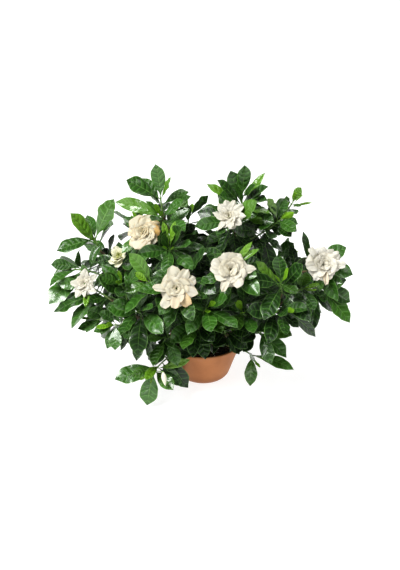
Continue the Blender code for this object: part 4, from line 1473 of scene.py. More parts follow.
@dataclass
class Growth:
    """The whole plant's limbs and leaves, grown in the order in which its parts grew.

    After the leaves of its parts come the ones that only thicken it: lower whorls on the
    twigs, small dark leaves on the woody stems, and bright young pairs at some tips.
    """

    inner_seed: int = 410
    inner_tries: int = 12
    inner_whorls: tuple[float, ...] = (0.0520, 0.0660, 0.0800, 0.0940, 0.1080, 0.1220, 0.1360)
    inner_length: tuple[float, float] = (0.044, 0.070)
    inner_pitch: tuple[float, float] = (62.0, 108.0)
    stem_whorl_step: float = 0.015
    stem_whorls_from: float = 0.30
    stem_bare_end: float = 0.006
    whorl_gap: float = 0.012
    placed_slim: float = 0.88
    shrink_per_try: float = 0.02
    sunk: float = 0.9
    young_below: float = 0.0010
    young_leaves: int = 2
    young_tries: int = 30
    young_share: tuple[float, float] = (0.40, 0.60)
    young_ratios: tuple[float, float] = (0.28, 0.36)
    young_pitch: tuple[float, float] = (12.0, 22.0)
    crowded_tries: int = 3
    pot_left: float = -0.035
    pot_reach: float = 0.135
    pot_top: float = 0.092
    box_inset: float = 0.001
    rng: random.Random = field(default_factory=lambda: random.Random(SEED))
    clearance: Clearance = field(default_factory=Clearance)
    stems: dict[str, Limb] = field(default_factory=dict)
    twigs: list[Twig] = field(default_factory=list)

    def grow(self) -> None:
        """Grow the stems, the twigs and every leaf."""
        self.clearance.add_node("pot")
        self.clearance.add_node("potting_soil")
        for name, (foot, *rest) in STEMS.items():
            points = [(*foot, ROOTED_TOP - ROOTED_DEPTH),
                      (foot[0] * ROOT_LEAN, foot[1] * ROOT_LEAN, ROOTED_TOP), *rest]
            path = Path(points, STEM_FOOT_RADIUS, STEM_TOP_RADIUS)
            count = int(path.length / STEM_RING_STEP) + 1
            reaches = [path.length * index / count for index in range(count + 1)]
            surface = self.clearance.add_mesh(name, "wood", ring_tube(path, reaches, STEM_SIDES)[0])
            self.stems[name] = Limb(name, path, surface)
        for shoot in SHOOTS:
            self.twigs.append(Twig(shoot, self.stems[shoot.stem], self.clearance))
            if shoot.bloom:
                self.clearance.add_node(shoot.bloom.node)
        for index, twig in enumerate(self.twigs):
            self.rng = random.Random(SEED + index)
            self.place_leaves(twig)
        grown = sum(len(twig.leaves) for twig in self.twigs)
        for index, twig in enumerate(self.twigs):
            self.rng = random.Random(self.inner_seed + index)
            self.thicken(twig)
        for index, stem in enumerate(self.stems.values()):
            self.rng = random.Random(self.inner_seed + len(SHOOTS) + index)
            reach = stem.path.length * self.stem_whorls_from
            while reach < stem.path.length - self.stem_bare_end:
                self.inner_whorl(stem, reach)
                reach += self.stem_whorl_step
        every = sum(len(limb.leaves) for limb in (*self.twigs, *self.stems.values()))
        LOG.info("grown: %d leaves of the parts, %d more to thicken them", grown, every - grown)

    def fits(self, leaf: Leaf, limb: Limb, crowded: bool = False) -> bool:
        """Say whether a leaf stays clear of everything placed, and of its own limb.

        Args:
            leaf: The leaf.
            limb: The limb that it grows on.
            crowded: Whether it may press against other leaves, as deep in a bush.

        Returns:
            True where it stays clear.
        """
        if min(vert.z for vert in leaf.shape()[0]) < LOWEST_LEAF:
            return False
        if self.clearance.hit(*leaf.shape(TEST_MARGIN), skip=limb.owner, past_leaves=crowded):
            return False
        return crowded or not self.clearance.hit(*leaf.shape(TEST_MARGIN, blade_only=True),
                                                 only_owner=limb.owner)

    def keep(self, leaf: Leaf, limb: Limb, whorl: int = 0, nature: Nature | None = None) -> None:
        """Keep a leaf, with its whorl and its nature.

        Args:
            leaf: The leaf.
            limb: The limb that it grows on.
            whorl: Its whorl, from the top.
            nature: What sets it apart, if anything does.
        """
        leaf.whorl, leaf.nature = whorl, nature
        limb.leaves.append(leaf)
        self.clearance.add(limb.owner, "leaf", *leaf.shape())

    def lay_leaf(self, start: Vector, tip: Vector, axis: Vector, outward: Vector,
                 ratio: float | None = None, roll: float = LEAF_ROLL) -> Leaf:
        """Lay a leaf that arches over and turns its upper side to the light.

        Args:
            start: Where it leaves its limb.
            tip: Where it ends.
            axis: The limb's way.
            outward: The way out of the limb.
            ratio: Its width as a share of its length, if that is settled.
            roll: How far it may turn about its midrib, in degrees.

        Returns:
            The leaf.
        """
        away = tip - start
        length = away.length
        away.normalize()
        heading = (away * TIPWARD + axis * LIMBWARD + outward * OUTWARD).normalized()
        arch = self.rng.uniform(*LEAF_ARCH) * length
        bend = start + heading * length * LEAF_BEND + Vector((0.0, 0.0, arch))
        if start.y < BACK_STARTS:
            light = LIGHT_FRONT
        else:
            light = Vector((start.x, start.y, 0.0)).normalized() * 0.7 + Vector((0.0, 0.0, 0.8))
        up = axis * 0.45 + light
        up -= away * up.dot(away)
        if up.length < 0.2:
            up = outward.cross(away) + Vector((0.0, 0.0, 0.3))
        turn = Matrix.Rotation(math.radians(self.rng.uniform(-roll, roll)), 3, away)
        width = length * (ratio or self.rng.uniform(*LEAF_WIDTH_RATIOS))
        return Leaf(start, bend, tip, turn @ up.normalized(), width)

    def place_leaves(self, twig: Twig) -> None:
        """Grow a leaf in each slot: first the placed tips, then the leaves that fill.

        Args:
            twig: Where they grow.
        """
        shoot, free = twig.shoot, list(twig.slots)
        for entry in shoot.placed:
            wanted = Vector(entry[:3])
            ratio = entry[3] if len(entry) > 3 else None
            ranked = sorted(free, key=lambda slot: slot_cost(slot, wanted, shoot.leaf))
            for attempt in range(PLACED_TRIES):
                slot = ranked[attempt % min(4, len(ranked))]
                spread = TRY_SPREAD * (attempt // 4)
                tip = wanted + Vector([self.rng.uniform(-spread, spread) for _ in range(3)])
                leaf = self.lay_leaf(slot.start, tip, slot.axis, slot.outward, ratio, PLACED_ROLL)
                leaving = (leaf.bend - slot.start).normalized().dot(slot.outward)
                if leaving > STALK_LEAVES and self.fits(leaf, twig):
                    free.remove(slot)
                    self.keep(leaf, twig, slot.whorl, Nature(slim=self.placed_slim))
                    break
        for slot in free:
            self.fill_slot(slot, twig)
        for number, nature in NATURES.get(shoot.name, {}).items():
            twig.leaves[number].nature = Nature(*nature)

    def fill_slot(self, slot: Slot, twig: Twig) -> None:
        """Grow a leaf that fills a slot, unless nothing fits there.

        Args:
            slot: The slot.
            twig: Its twig.
        """
        outward = (slot.outward - slot.axis * slot.outward.dot(slot.axis)).normalized()
        full = twig.shoot.leaf
        for attempt in range(FILLING_TRIES):
            size = full * self.rng.uniform(*FILLING_SIZES)
            size *= twig.shoot.top if slot.whorl == 0 else 1.0
            size *= 1.0 - FILLING_SHRINK * attempt
            pitch = math.radians(
                WHORL_PITCH[slot.whorl]
                + self.rng.uniform(-PITCH_STRAY, PITCH_STRAY) * (1 + attempt * PITCH_LOOSER))
            swing = math.radians(
                self.rng.uniform(-SWING_STRAY, SWING_STRAY) * (1 + attempt * SWING_LOOSER))
            radial = Matrix.Rotation(swing, 3, slot.axis) @ outward
            heading = slot.axis * math.cos(pitch) + radial * math.sin(pitch)
            tip = slot.start + heading * size + Vector((0.0, 0.0, -LEAF_SAG * size))
            leaf = self.lay_leaf(slot.start, tip, slot.axis, radial)
            if self.fits(leaf, twig):
                self.keep(leaf, twig, slot.whorl)
                return

    def thicken(self, twig: Twig) -> None:
        """Grow the lower whorls of a twig, the young pair at its tip, and its extra leaves.

        Args:
            twig: Where they grow.
        """
        name, path = twig.shoot.name, twig.path
        used = path.length if name in BARE_SHOOTS else max(twig.whorls, default=0.0)
        for below in self.inner_whorls:
            if used + self.whorl_gap < below < path.length - TWIG_FOOT_CONE:
                self.inner_whorl(twig, path.length - below)
        if not twig.shoot.bloom and name not in PLAIN_TIPS:
            self.crown(twig)
        for extra in (Extra(*row) for row in EXTRAS.get(name, ())):
            reach, tip = path.length - extra.below / 1000, Vector(metres(extra.tip))
            axis, away = path.tangent(reach), tip - path.point(reach)
            outward = (away - axis * away.dot(axis)).normalized()
            start = path.point(reach) + outward * path.radius(reach) * self.sunk
            leaf = self.lay_leaf(start, tip, axis, outward, extra.width / 1000 / away.length,
                                 PLACED_ROLL)
            self.keep(leaf, twig, extra.whorl, Nature(extra.youth))

    def crown(self, twig: Twig) -> None:
        """Grow the bright folded leaves that open at the tip of a twig.

        Args:
            twig: Where they grow.
        """
        path, shoot, rng = twig.path, twig.shoot, self.rng
        reach = path.length - self.young_below
        point, axis = path.point(reach), path.tangent(reach)
        across = axis.orthogonal().normalized()
        first = rng.uniform(0.0, math.tau)
        for index in range(self.young_leaves):
            for attempt in range(self.young_tries):
                angle = first + math.tau * index / self.young_leaves + rng.uniform(-0.5, 0.5)
                outward = Matrix.Rotation(angle, 3, axis) @ across
                size = shoot.leaf * rng.uniform(*self.young_share)
                size = size * (1.0 - self.shrink_per_try * attempt) * LARGE_CROWNS.get(shoot.name, 1.0)
                pitch = math.radians(rng.uniform(*self.young_pitch) * (1.0 + 0.05 * attempt))
                start = point + outward * path.radius(reach) * self.sunk
                tip = start + (axis * math.cos(pitch) + outward * math.sin(pitch)) * size
                bend = start.lerp(tip, 0.5) + outward * size * 0.08
                leaf = Leaf(start, bend, tip, (axis - outward * 1.6).normalized(),
                            size * rng.uniform(*self.young_ratios))
                if self.inside(leaf) and self.fits(leaf, twig):
                    self.keep(leaf, twig, nature=Nature(1.0))
                    break

    def inner_whorl(self, limb: Limb, reach: float) -> None:
        """Grow up to three leaves round a limb, where there is room for them.

        Args:
            limb: The stem or twig.
            reach: How far along it they start.
        """
        path, rng = limb.path, self.rng
        point, axis = path.point(reach), path.tangent(reach)
        across = axis.orthogonal().normalized()
        first = rng.uniform(0.0, math.tau)
        for index in range(WHORL_LEAVES):
            for attempt in range(self.inner_tries + self.crowded_tries):
                angle = first + math.tau * index / WHORL_LEAVES + rng.uniform(-0.3, 0.3) * attempt
                outward = Matrix.Rotation(angle, 3, axis) @ across
                size = rng.uniform(*self.inner_length) * (1.0 - self.shrink_per_try * attempt)
                pitch = math.radians(rng.uniform(*self.inner_pitch))
                start = point + outward * path.radius(reach)
                heading = axis * math.cos(pitch) + outward * math.sin(pitch)
                tip = start + heading * size + Vector((0.0, 0.0, -LEAF_SAG * size))
                leaf = self.lay_leaf(start, tip, axis, outward)
                if self.inside(leaf) and self.fits(leaf, limb, attempt >= self.inner_tries):
                    self.keep(leaf, limb, len(WHORL_BELOW_TIP))
                    break

    def inside(self, leaf: Leaf) -> bool:
        """Say whether a leaf stays inside the box of the parts, and off the pot's bare side.

        Args:
            leaf: The leaf.

        Returns:
            True where it does.
        """
        low, high = CAD_BOX
        verts = leaf.shape()[0]
        if any(vert.x > self.pot_left and math.hypot(vert.x, vert.y) < self.pot_reach
               and vert.z < self.pot_top for vert in verts):
            return False
        return all(low[axis] + self.box_inset < vert[axis] < high[axis] - self.box_inset
                   for vert in verts for axis in range(3))


# ---- pot and soil


@dataclass
class Pot:
    """A turned plastic pot with a rounded foot, a rolled lip and drainage holes."""

    node: str = "pot"
    base_radius: float = 0.032
    fillet: float = 0.0237
    wall: float = 0.0022
    lip_height: float = 0.005
    lip_proud: float = 0.0014
    segments: int = 144
    foot_steps: int = 14
    lip_steps: int = 5
    drain_holes: int = 4
    drain_radius: float = 0.0045
    drain_ring: float = 0.021

    def __post_init__(self) -> None:
        """Read the pot's height and width from the frame."""
        low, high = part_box(self.node)
        self.height = high.z
        self.rim_radius = (high.x - low.x) / 2 - self.lip_proud

    def outline(self) -> list[tuple[float, float]]:
        """Draw the whole outline, from the underside out, up, over the lip and back in.

        Returns:
            Radius and height of each point.
        """
        under, roll = self.height - self.lip_height, self.lip_proud
        lip = []
        for low, turn in ((under + roll, -math.pi / 2), (self.height - roll, 0.0)):
            for step in range(self.lip_steps + 1):
                angle = turn + math.pi / 2 * step / self.lip_steps
                lip.append((self.rim_radius + roll * math.cos(angle), low + roll * math.sin(angle)))
        return self.side(0.0, under) + lip[1:] + self.side(self.wall, self.height)[::-1]

    def side(self, inset: float, top: float) -> list[tuple[float, float]]:
        """Return an outline up the rounded foot and the straight side.

        Args:
            inset: How far inside the pot's outside it runs.
            top: How high it goes.

        Returns:
            Radius and height of each point.
        """
        fillet, rim = self.fillet - inset, self.rim_radius - inset
        centre = Vector((self.base_radius, inset + fillet))
        to_rim = Vector((rim, top)) - centre
        sweep = math.atan2(to_rim.y, to_rim.x) - math.acos(fillet / to_rim.length) + math.pi / 2
        turns = [sweep * step / self.foot_steps - math.pi / 2 for step in range(self.foot_steps + 1)]
        return [(centre.x + fillet * math.cos(angle), centre.y + fillet * math.sin(angle))
                for angle in turns] + [(rim, top)]

    def build(self, finishes: Finishes) -> None:
        """Model the pot and put it in its part's place.

        Args:
            finishes: The plant's materials.
        """
        piece = turned("pot_shell", self.outline(), self.segments)
        for index in range(self.drain_holes):
            self.drill(piece, math.tau * (index + 0.5) / self.drain_holes)
        dress(piece.obj, finishes.pot)
        smooth(piece.obj, 35.0)
        settle(piece.obj, "terracotta_plastic", self.node)

    def drill(self, piece: Workpiece, angle: float) -> None:
        """Drill a drainage hole through the floor of the pot.

        Args:
            piece: The pot.
            angle: Where round the floor the hole lies.
        """
        place = (self.drain_ring * math.cos(angle), self.drain_ring * math.sin(angle), 0.0)
        drill = Workpiece("drill", bpy.ops.mesh.primitive_cylinder_add, vertices=32,
                          radius=self.drain_radius, depth=self.wall * 4, location=place)
        piece.modify("BOOLEAN", operation="DIFFERENCE", object=drill.obj)
        bpy.data.objects.remove(drill.obj)


@dataclass
class PottingSoil:
    """The potting mix: a crumbly top with bark chips and perlite, and plain sides."""

    pot: Pot
    node: str = "potting_soil"
    segments: int = 96
    rings: int = 26
    relief: float = 0.0016
    chip_count: int = 190
    perlite_count: int = 70
    chip_length: tuple[float, float] = (0.0035, 0.009)
    grain_length: tuple[float, float] = (0.0016, 0.0034)
    chip_shape: Point = (1.0, 0.62, 0.34)
    grain_shape: Point = (1.0, 0.85, 0.75)
    seed: int = 31

    def __post_init__(self) -> None:
        """Read the soil's size from the frame."""
        _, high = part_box(self.node)
        self.top = high.z
        walls = self.pot.side(self.pot.wall + SEAT_GAP, self.pot.height)
        (low_radius, low_height), (high_radius, high_height) = walls[-2:]
        share = (self.top - low_height) / (high_height - low_height)
        self.radius = low_radius + (high_radius - low_radius) * share
        self.walls = walls[:-1] + [(self.radius, self.top - self.relief)]

    def height_at(self, place: Vector) -> float:
        """Return how much the crumbly top lies under its highest level at a place."""
        rough = noise.noise(place * 160.0) * 0.5 + noise.noise(place * 420.0) * 0.5
        return -self.relief * (0.75 + rough * 0.9)

    def build(self, finishes: Finishes) -> None:
        """Model the soil and what lies on it.

        Args:
            finishes: The plant's materials.
        """
        self.build_body(finishes)
        rng = random.Random(self.seed)
        self.scatter("bark_chips", finishes.chips, self.chip_count, self.chip_length,
                     self.chip_shape, rng)
        self.scatter("perlite_grains", finishes.perlite, self.perlite_count, self.grain_length,
                     self.grain_shape, rng)

    def build_body(self, finishes: Finishes) -> None:
        """Model the filling: rings drawn in across the top, and a wall down to the foot.

        Args:
            finishes: The plant's materials.
        """
        outline = self.walls + [(self.radius * (1.0 - ring / self.rings), self.top)
                                for ring in range(1, self.rings)]
        obj = turned("potting_mix", outline, self.segments).obj
        places = places_of(obj)
        for place in places:
            if place[2] > self.top - 10 * NEAR:
                place[2] += self.height_at(Vector(place))
        reshaped(obj, places)
        dress(obj, finishes.soil)
        smooth(obj)
        settle(obj, "potting_mix", self.node)

    def scatter(self, name: str, material: Material, count: int,
                lengths: tuple[float, float], shape: Point, rng: random.Random) -> None:
        """Strew one kind of grain over the soil, from one modelled grain.

        Args:
            name: The piece's name.
            material: Its finish.
            count: How many grains there are.
            lengths: The shortest and the longest grain.
            shape: A grain's sizes as shares of its length.
            rng: What their places are drawn from.
        """
        grain = Workpiece("grain", bpy.ops.mesh.primitive_ico_sphere_add, subdivisions=1, radius=0.5)
        with editing(grain.obj):
            bpy.ops.transform.resize(value=shape, center_override=(0.0, 0.0, 0.0))
            grain.widen(lambda place: place.x > 0.2, (1.0, 0.55, 0.8), (0.3, 0.0, 0.0))
        dress(grain.obj, material)
        corners = places_of(grain.obj)
        grains = []
        for _ in range(count):
            angle, reach = rng.uniform(0.0, math.tau), self.radius * 0.95 * math.sqrt(rng.random())
            turn = (Matrix.Rotation(rng.uniform(0.0, math.tau), 3, "Z")
                    @ Matrix.Rotation(rng.uniform(-0.4, 0.4), 3, "X")
                    @ Matrix.Rotation(rng.uniform(-0.3, 0.3), 3, "Y"))
            size = rng.uniform(*lengths)
            made = copied(grain.obj, "grain_copy")
            rough = np.array([[rng.uniform(0.75, 1.0)] for _ in corners])
            at = Vector((reach * math.cos(angle), reach * math.sin(angle), self.top))
            at.z += self.height_at(at) + size * 0.10
            turned = corners * rough * size @ np.array(turn).T
            turned[:, 2] = np.minimum(turned[:, 2] + at.z, self.top + 0.0015) - at.z
            reshaped(made, turned + np.array(at))
            grains.append(made)
        bpy.data.objects.remove(grain.obj)
        settle(joined(grains, name), "potting_mix")


# ---- limbs


@dataclass
class WoodyStem:
    """A woody stem: a tube with knobs where leaves once sat."""

    name: str
    path: Path
    step: float = 0.0035
    knob_spacing: float = 0.017
    knob: float = 0.16
    knob_width: float = 0.12
    roughness: float = 0.07

    def build(self, finishes: Finishes) -> Object:
        """Model the stem.

        Args:
            finishes: The plant's materials.

        Returns:
            The stem.
        """
        count = int(self.path.length / self.step)
        points, radii = [], []
        for index in range(count + 1):
            reach = self.path.length * index / count
            place = self.path.point(reach)
            swell = max(0.0, 1.0 - abs((reach / self.knob_spacing) % 1.0 - 0.5) / self.knob_width)
            wobble = noise.noise(place * 90.0) * self.roughness
            points.append(place)
            radii.append(self.path.radius(reach) * (0.97 + swell * self.knob + wobble))
        return tube_along(f"{self.name}_bark", points, radii, finishes.bark, 3)


@dataclass
class GreenShoot:
    """The twig of a shoot, from inside its stem to its tip, with a ring at each whorl."""

    twig: Twig
    step: float = 0.0032
    ring: float = 0.28
    ring_length: float = 0.0022
    woody_from: float = 0.25
    sunk: float = 0.55
    tip_share: float = 0.35

    def build(self, finishes: Finishes) -> Object:
        """Model the twig.

        Args:
            finishes: The plant's materials.

        Returns:
            The twig.
        """
        path = self.twig.path
        count = max(6, int(path.length / self.step))
        points = [self.twig.root.lerp(path.point(0.0), self.sunk)]
        radii = [path.radius(0.0) * 0.9]
        for index in range(count + 1):
            reach = path.length * index / count
            near = min((abs(path.length - below - reach) for below in self.twig.whorls), default=1.0)
            swell = max(0.0, 1.0 - near / self.ring_length) * self.ring
            points.append(path.point(reach))
            radii.append(path.radius(reach) * (1.0 + swell))
        if not self.twig.shoot.bloom:
            radii[-1] *= self.tip_share
        limb = tube_along("twig", points, radii, finishes.twig, 1)
        reach = np.linalg.norm(places_of(limb) - np.array(points[0]), axis=1) / path.length
        mark(limb, "woody", np.clip(1.0 - reach / (1.0 - self.woody_from), 0.0, 1.0))
        return limb


# ---- leaves


@dataclass
class Blade:
    """A flat leaf or petal along +Y, modelled once, that all of its kind are bent from."""

    name: str
    columns: int
    rows: int

    def start(self) -> Workpiece:
        """Lay a grid of its rows and columns, one unit long, from the origin.

        Returns:
            The grid.
        """
        piece = Workpiece(self.name, bpy.ops.mesh.primitive_grid_add, x_subdivisions=self.columns,
                          y_subdivisions=self.rows, size=1.0)
        with editing(piece.obj):
            bpy.ops.transform.translate(value=(0.0, 0.5, 0.0))
        return piece

    def read(self, piece: Workpiece, width: float = 1.0, length: float = 1.0) -> None:
        """Shade the finished piece and read its vertices as shares of a width and a length.

        Args:
            piece: The piece.
            width: Its full width.
            length: Its full length.
        """
        smooth(piece.obj)
        self.obj = piece.obj
        places = places_of(piece.obj)
        self.across = places[:, 0] / width
        self.along = np.clip(places[:, 1] / length, 0.0, 1.0)
        self.rise = places[:, 2] / width


@dataclass
class LeafBlade(Blade):
    """A leaf with a folded blade on a short stalk.

    Its rows slant towards the tip like a leaf's side veins, with a groove at each vein
    and a quilted ridge between two of them.
    """

    columns: int = 4
    rows: int = 16
    length: float = LEAF_LENGTH
    width: float = 0.037
    stalk: float = 0.10
    stalk_share: float = 0.062
    fullness: float = 0.78
    fold: float = 0.17
    edge_curl: float = 0.055
    quilt: float = 0.0010
    groove: float = 0.0006
    slant: float = 0.26
    evenness: float = 0.5
    wave: float = 0.0011
    waves: float = 2.4
    wave_phase: float = 0.0
    thickness: float = 0.00055

    def share_of_width(self, along: float) -> float:
        """Return the width at a share of the length, as a share of the full width.

        Args:
            along: The share of the length.

        Returns:
            The share of the width.
        """
        blade = (along - self.stalk) / (1.0 - self.stalk)
        if blade <= 0.0:
            return self.stalk_share
        if along > 0.999:
            return 0.015
        pointed = 1.0 - 0.42 * min(max((blade - 0.70) / 0.26, 0.0), 1.0)
        return max(math.sin(math.pi * blade ** 0.92) ** self.fullness * pointed, self.stalk_share)

    def build(self, finishes: Finishes) -> None:
        """Model the leaf.

        Args:
            finishes: The plant's materials.
        """
        piece, half = self.start(), self.width / 2
        with editing(piece.obj):
            bpy.ops.transform.resize(value=(self.width, self.length, 1.0),
                                     center_override=(0.0, 0.0, 0.0))
            piece.shift(lambda place: abs(abs(place.x) - half / 2) < 10 * NEAR,
                        (0.0, 0.0, half * (self.fold * 0.5 + self.edge_curl * 0.6)))
            piece.shift(lambda place: abs(abs(place.x) - half) < 10 * NEAR,
                        (0.0, 0.0, half * (self.fold - self.edge_curl)))
            for row in range(self.rows + 1):
                self.shape_row(piece, row)
        piece.modify("SOLIDIFY", thickness=self.thickness, offset=-1.0, material_offset=1,
                     material_offset_rim=0)
        dress(piece.obj, finishes.leaf, finishes.underside)
        self.read(piece, self.width, self.length)

    def shape_row(self, piece: Workpiece, row: int) -> None:
        """Give a row of the blade its width, its relief, its wave and its slant.

        Args:
            piece: The blade.
            row: The number of the row, from the stalk.
        """
        along, half, near = row / self.rows, self.width / 2, 10 * NEAR
        level = along * self.length
        share = self.share_of_width(along)
        bell = 4.0 * along * (1.0 - along)
        ridge = (self.quilt if row % 2 else -self.groove) * (
            1.0 + (1.0 - self.evenness) * math.sin(row * 2.3 + self.wave_phase * 9.0))
        wave = self.wave * math.sin(math.tau * (along * self.waves + self.wave_phase))
        piece.shift(lambda place: abs(place.y - level) < near
                    and abs(abs(place.x) - half / 2) < near, (0.0, 0.0, ridge * bell))
        for sign in (-1.0, 1.0):
            piece.shift(lambda place: abs(place.y - level) < near
                        and abs(place.x - sign * half) < near,
                        (0.0, 0.0, (ridge * 0.4 + wave * sign) * bell))
        piece.widen(lambda place: abs(place.y - level) < near, (share, 1.0, max(share, 0.3)),
                    (0.0, level, 0.0))
        for reach in (0.5, 1.0):
            piece.shift(lambda place: abs(place.y - level) < near
                        and abs(abs(place.x) - half * share * reach) < near,
                        (0.0, self.slant * self.length * reach * bell * 0.5, 0.0))

    def lay(self, leaf: Leaf, roll: float, twist: float, tone: float, nature: Nature) -> Object:
        """Bend a copy of the blade along a leaf's midrib.

        Args:
            leaf: Where the leaf lies.
            roll: How far the whole blade is turned about its midrib, in radians.
            twist: How far it turns further from stalk to tip, in radians.
            tone: How light its green is, from 0 to 1, with painted shade and painted light in it.
            nature: How young, slim and grown it is.

        Returns:
            The copy.
        """
        share = self.along[:, None] * nature.grown
        rest = 1.0 - share
        start, bend, tip, up = (np.array(way) for way in (leaf.start, leaf.bend, leaf.tip, leaf.up))
        points = start * rest ** 2 + bend * 2 * rest * share + tip * share ** 2
        heading = unit((bend - start) * rest + (tip - bend) * share)
        side = unit(np.cross(heading, up))
        top = np.cross(side, heading)
        turn = roll + twist * (share - 0.3)
        side, top = side * np.cos(turn) + top * np.sin(turn), top * np.cos(turn) - side * np.sin(turn)
        width = leaf.width * (0.3 + 0.7 * nature.grown)
        obj = copied(self.obj, "leaf_copy")
        reshaped(obj, points + side * self.across[:, None] * width * nature.slim
                 + top * self.rise[:, None] * width)
        mark(obj, "tone", tone)
        mark(obj, "youth", nature.youth)
        return obj


def unit(vectors: np.ndarray) -> np.ndarray:
    """Return rows scaled to a length of one."""
    return vectors / np.linalg.norm(vectors, axis=1, keepdims=True)


# How dark and how light a leaf may be, from the top whorl down to the inner leaves. The lower and inner
# leaves are darker partly for the deeper green of older leaves and partly as painted shade deep in the
# bush.
TONES = ((0.45, 1.0), (0.25, 0.9), (0.1, 0.7), (0.0, 0.5), (0.0, 0.3))


@dataclass(frozen=True)
class PaintedLighting:
    """A place whose leaves get painted shade or painted light: its middle and its reach.

    What is left of a leaf's own tone there is its share, and more is added.
    """

    middle: Point
    reach: float
    share: float
    more: float


# Painted shade in the hollow under the top flower, in the one over the pot and on the right; painted
# light on the left and the upper left.
PAINTED_LIGHTING = (
    PaintedLighting((0.036, -0.060, 0.324), 0.034, 0.0, -0.5), PaintedLighting((0.044, -0.120, 0.157), 0.052, 0.2, -0.4),
    PaintedLighting((0.165, -0.120, 0.242), 0.075, 0.6, -0.12),
    PaintedLighting((-0.215, -0.100, 0.216), 0.095, 1.0, 0.22), PaintedLighting((-0.103, -0.020, 0.391), 0.080, 1.0, 0.15))

# How far a leaf may turn about its midrib, in radians, from the top whorl down.
ROLLS = (0.30, 0.50, 0.60, 0.70, 0.80)


@dataclass
class Foliage:
    """All the leafy pieces: each shoot's twig with its leaves, and the stems' inner leaves."""

    growth: Growth
    finishes: Finishes
    seed: int = 77
    twist: float = 0.55
    slimness: tuple[float, float] = (0.70, 0.90)
    least_youth: float = -0.4
    tip_youth: float = 0.16
    settled_roll: float = 0.4

    def __post_init__(self) -> None:
        """Model the kinds of leaf."""
        self.blades = [LeafBlade("blade_broad", fold=0.20),
                       LeafBlade("blade_wavy", fold=0.14, wave=0.0024, waves=2.9, wave_phase=0.3),
                       LeafBlade("blade_curled", fold=0.34, edge_curl=0.20, wave_phase=0.6),
                       LeafBlade("blade_folded", fold=0.46, edge_curl=0.05, wave_phase=0.1)]
        self.plain = [LeafBlade("blade_plain", columns=2, rows=10, fold=0.16),
                      LeafBlade("blade_narrow", columns=2, rows=10, fold=0.34, wave_phase=0.5)]
        for blade in self.blades + self.plain:
            blade.build(self.finishes)

    def leaves_of(self, limb: Limb, seed: int) -> list[Object]:
        """Model the leaves of a limb, the younger ones in a lighter green.

        Args:
            limb: The stem or twig.
            seed: What its leaves' differences are drawn from.

        Returns:
            The leaves.
        """
        rng = random.Random(seed)
        made = []
        for leaf in limb.leaves:
            kinds = self.plain if leaf.whorl >= len(WHORL_BELOW_TIP) else self.blades
            blade = kinds[rng.randrange(len(kinds))]
            roll = rng.uniform(-1.0, 1.0) * ROLLS[leaf.whorl]
            twist = rng.uniform(-self.twist, self.twist)
            tone = rng.uniform(*TONES[leaf.whorl])
            middle = leaf.midrib(0.5)[0]
            # Painted shade and painted light darken or lighten the leaves in some places.
            for shade in PAINTED_LIGHTING:
                if (middle - Vector(shade.middle)).length < shade.reach:
                    tone = tone * shade.share + shade.more
            newest = self.tip_youth if leaf.whorl == 0 else 0.0
            nature = Nature(max(0.0, rng.uniform(self.least_youth, newest)),
                            rng.uniform(*self.slimness))
            if leaf.nature:
                nature, roll = leaf.nature, roll * self.settled_roll
            made.append(blade.lay(leaf, roll, twist, tone, nature))
        return made

    def build(self) -> None:
        """Model every shoot, then the woody stems with their inner leaves."""
        for index, twig in enumerate(self.growth.twigs):
            made = self.leaves_of(twig, self.seed + index)
            made.append(GreenShoot(twig).build(self.finishes))
            node = twig.shoot.node
            settle(joined(made, f"{node}_foliage"), "leaf", node)
        for index, (name, stem) in enumerate(self.growth.stems.items()):
            settle(WoodyStem(name, stem.path).build(self.finishes), "bark", name)
            if stem.leaves:
                made = self.leaves_of(stem, self.seed + len(SHOOTS) + index)
                settle(joined(made, f"{name}_leaves"), "leaf")
        for blade in self.blades + self.plain:
            bpy.data.objects.remove(blade.obj)


# ---- flowers


class Habit(Enum):
    """How a flower's petals stand."""

    ROSETTE = "rosette"
    PINWHEEL = "pinwheel"
    OPENING = "opening"


@dataclass(frozen=True)
class Ring:
    """One ring of petals: how many, how long and wide, and how they lean, roll and cup.

    Lengths and widths are shares of the flower's radius, and leans and rolls are degrees.
    """

    count: int
    length: float
    width: float
    lean_foot: float
    lean_tip: float
    roll: float
    cup: float
    inner: float
    turn: float = 0.0


@dataclass(frozen=True)
class Tab:
    """One petal that stands out from the rest: its way round, its size and its wilting.

    It is measured as a ring is, and its way round is in degrees from the right.
    """

    angle: float
    length: float
    width: float = 0.5
    lean_tip: float = 98.0
    wilted: float = 0.0


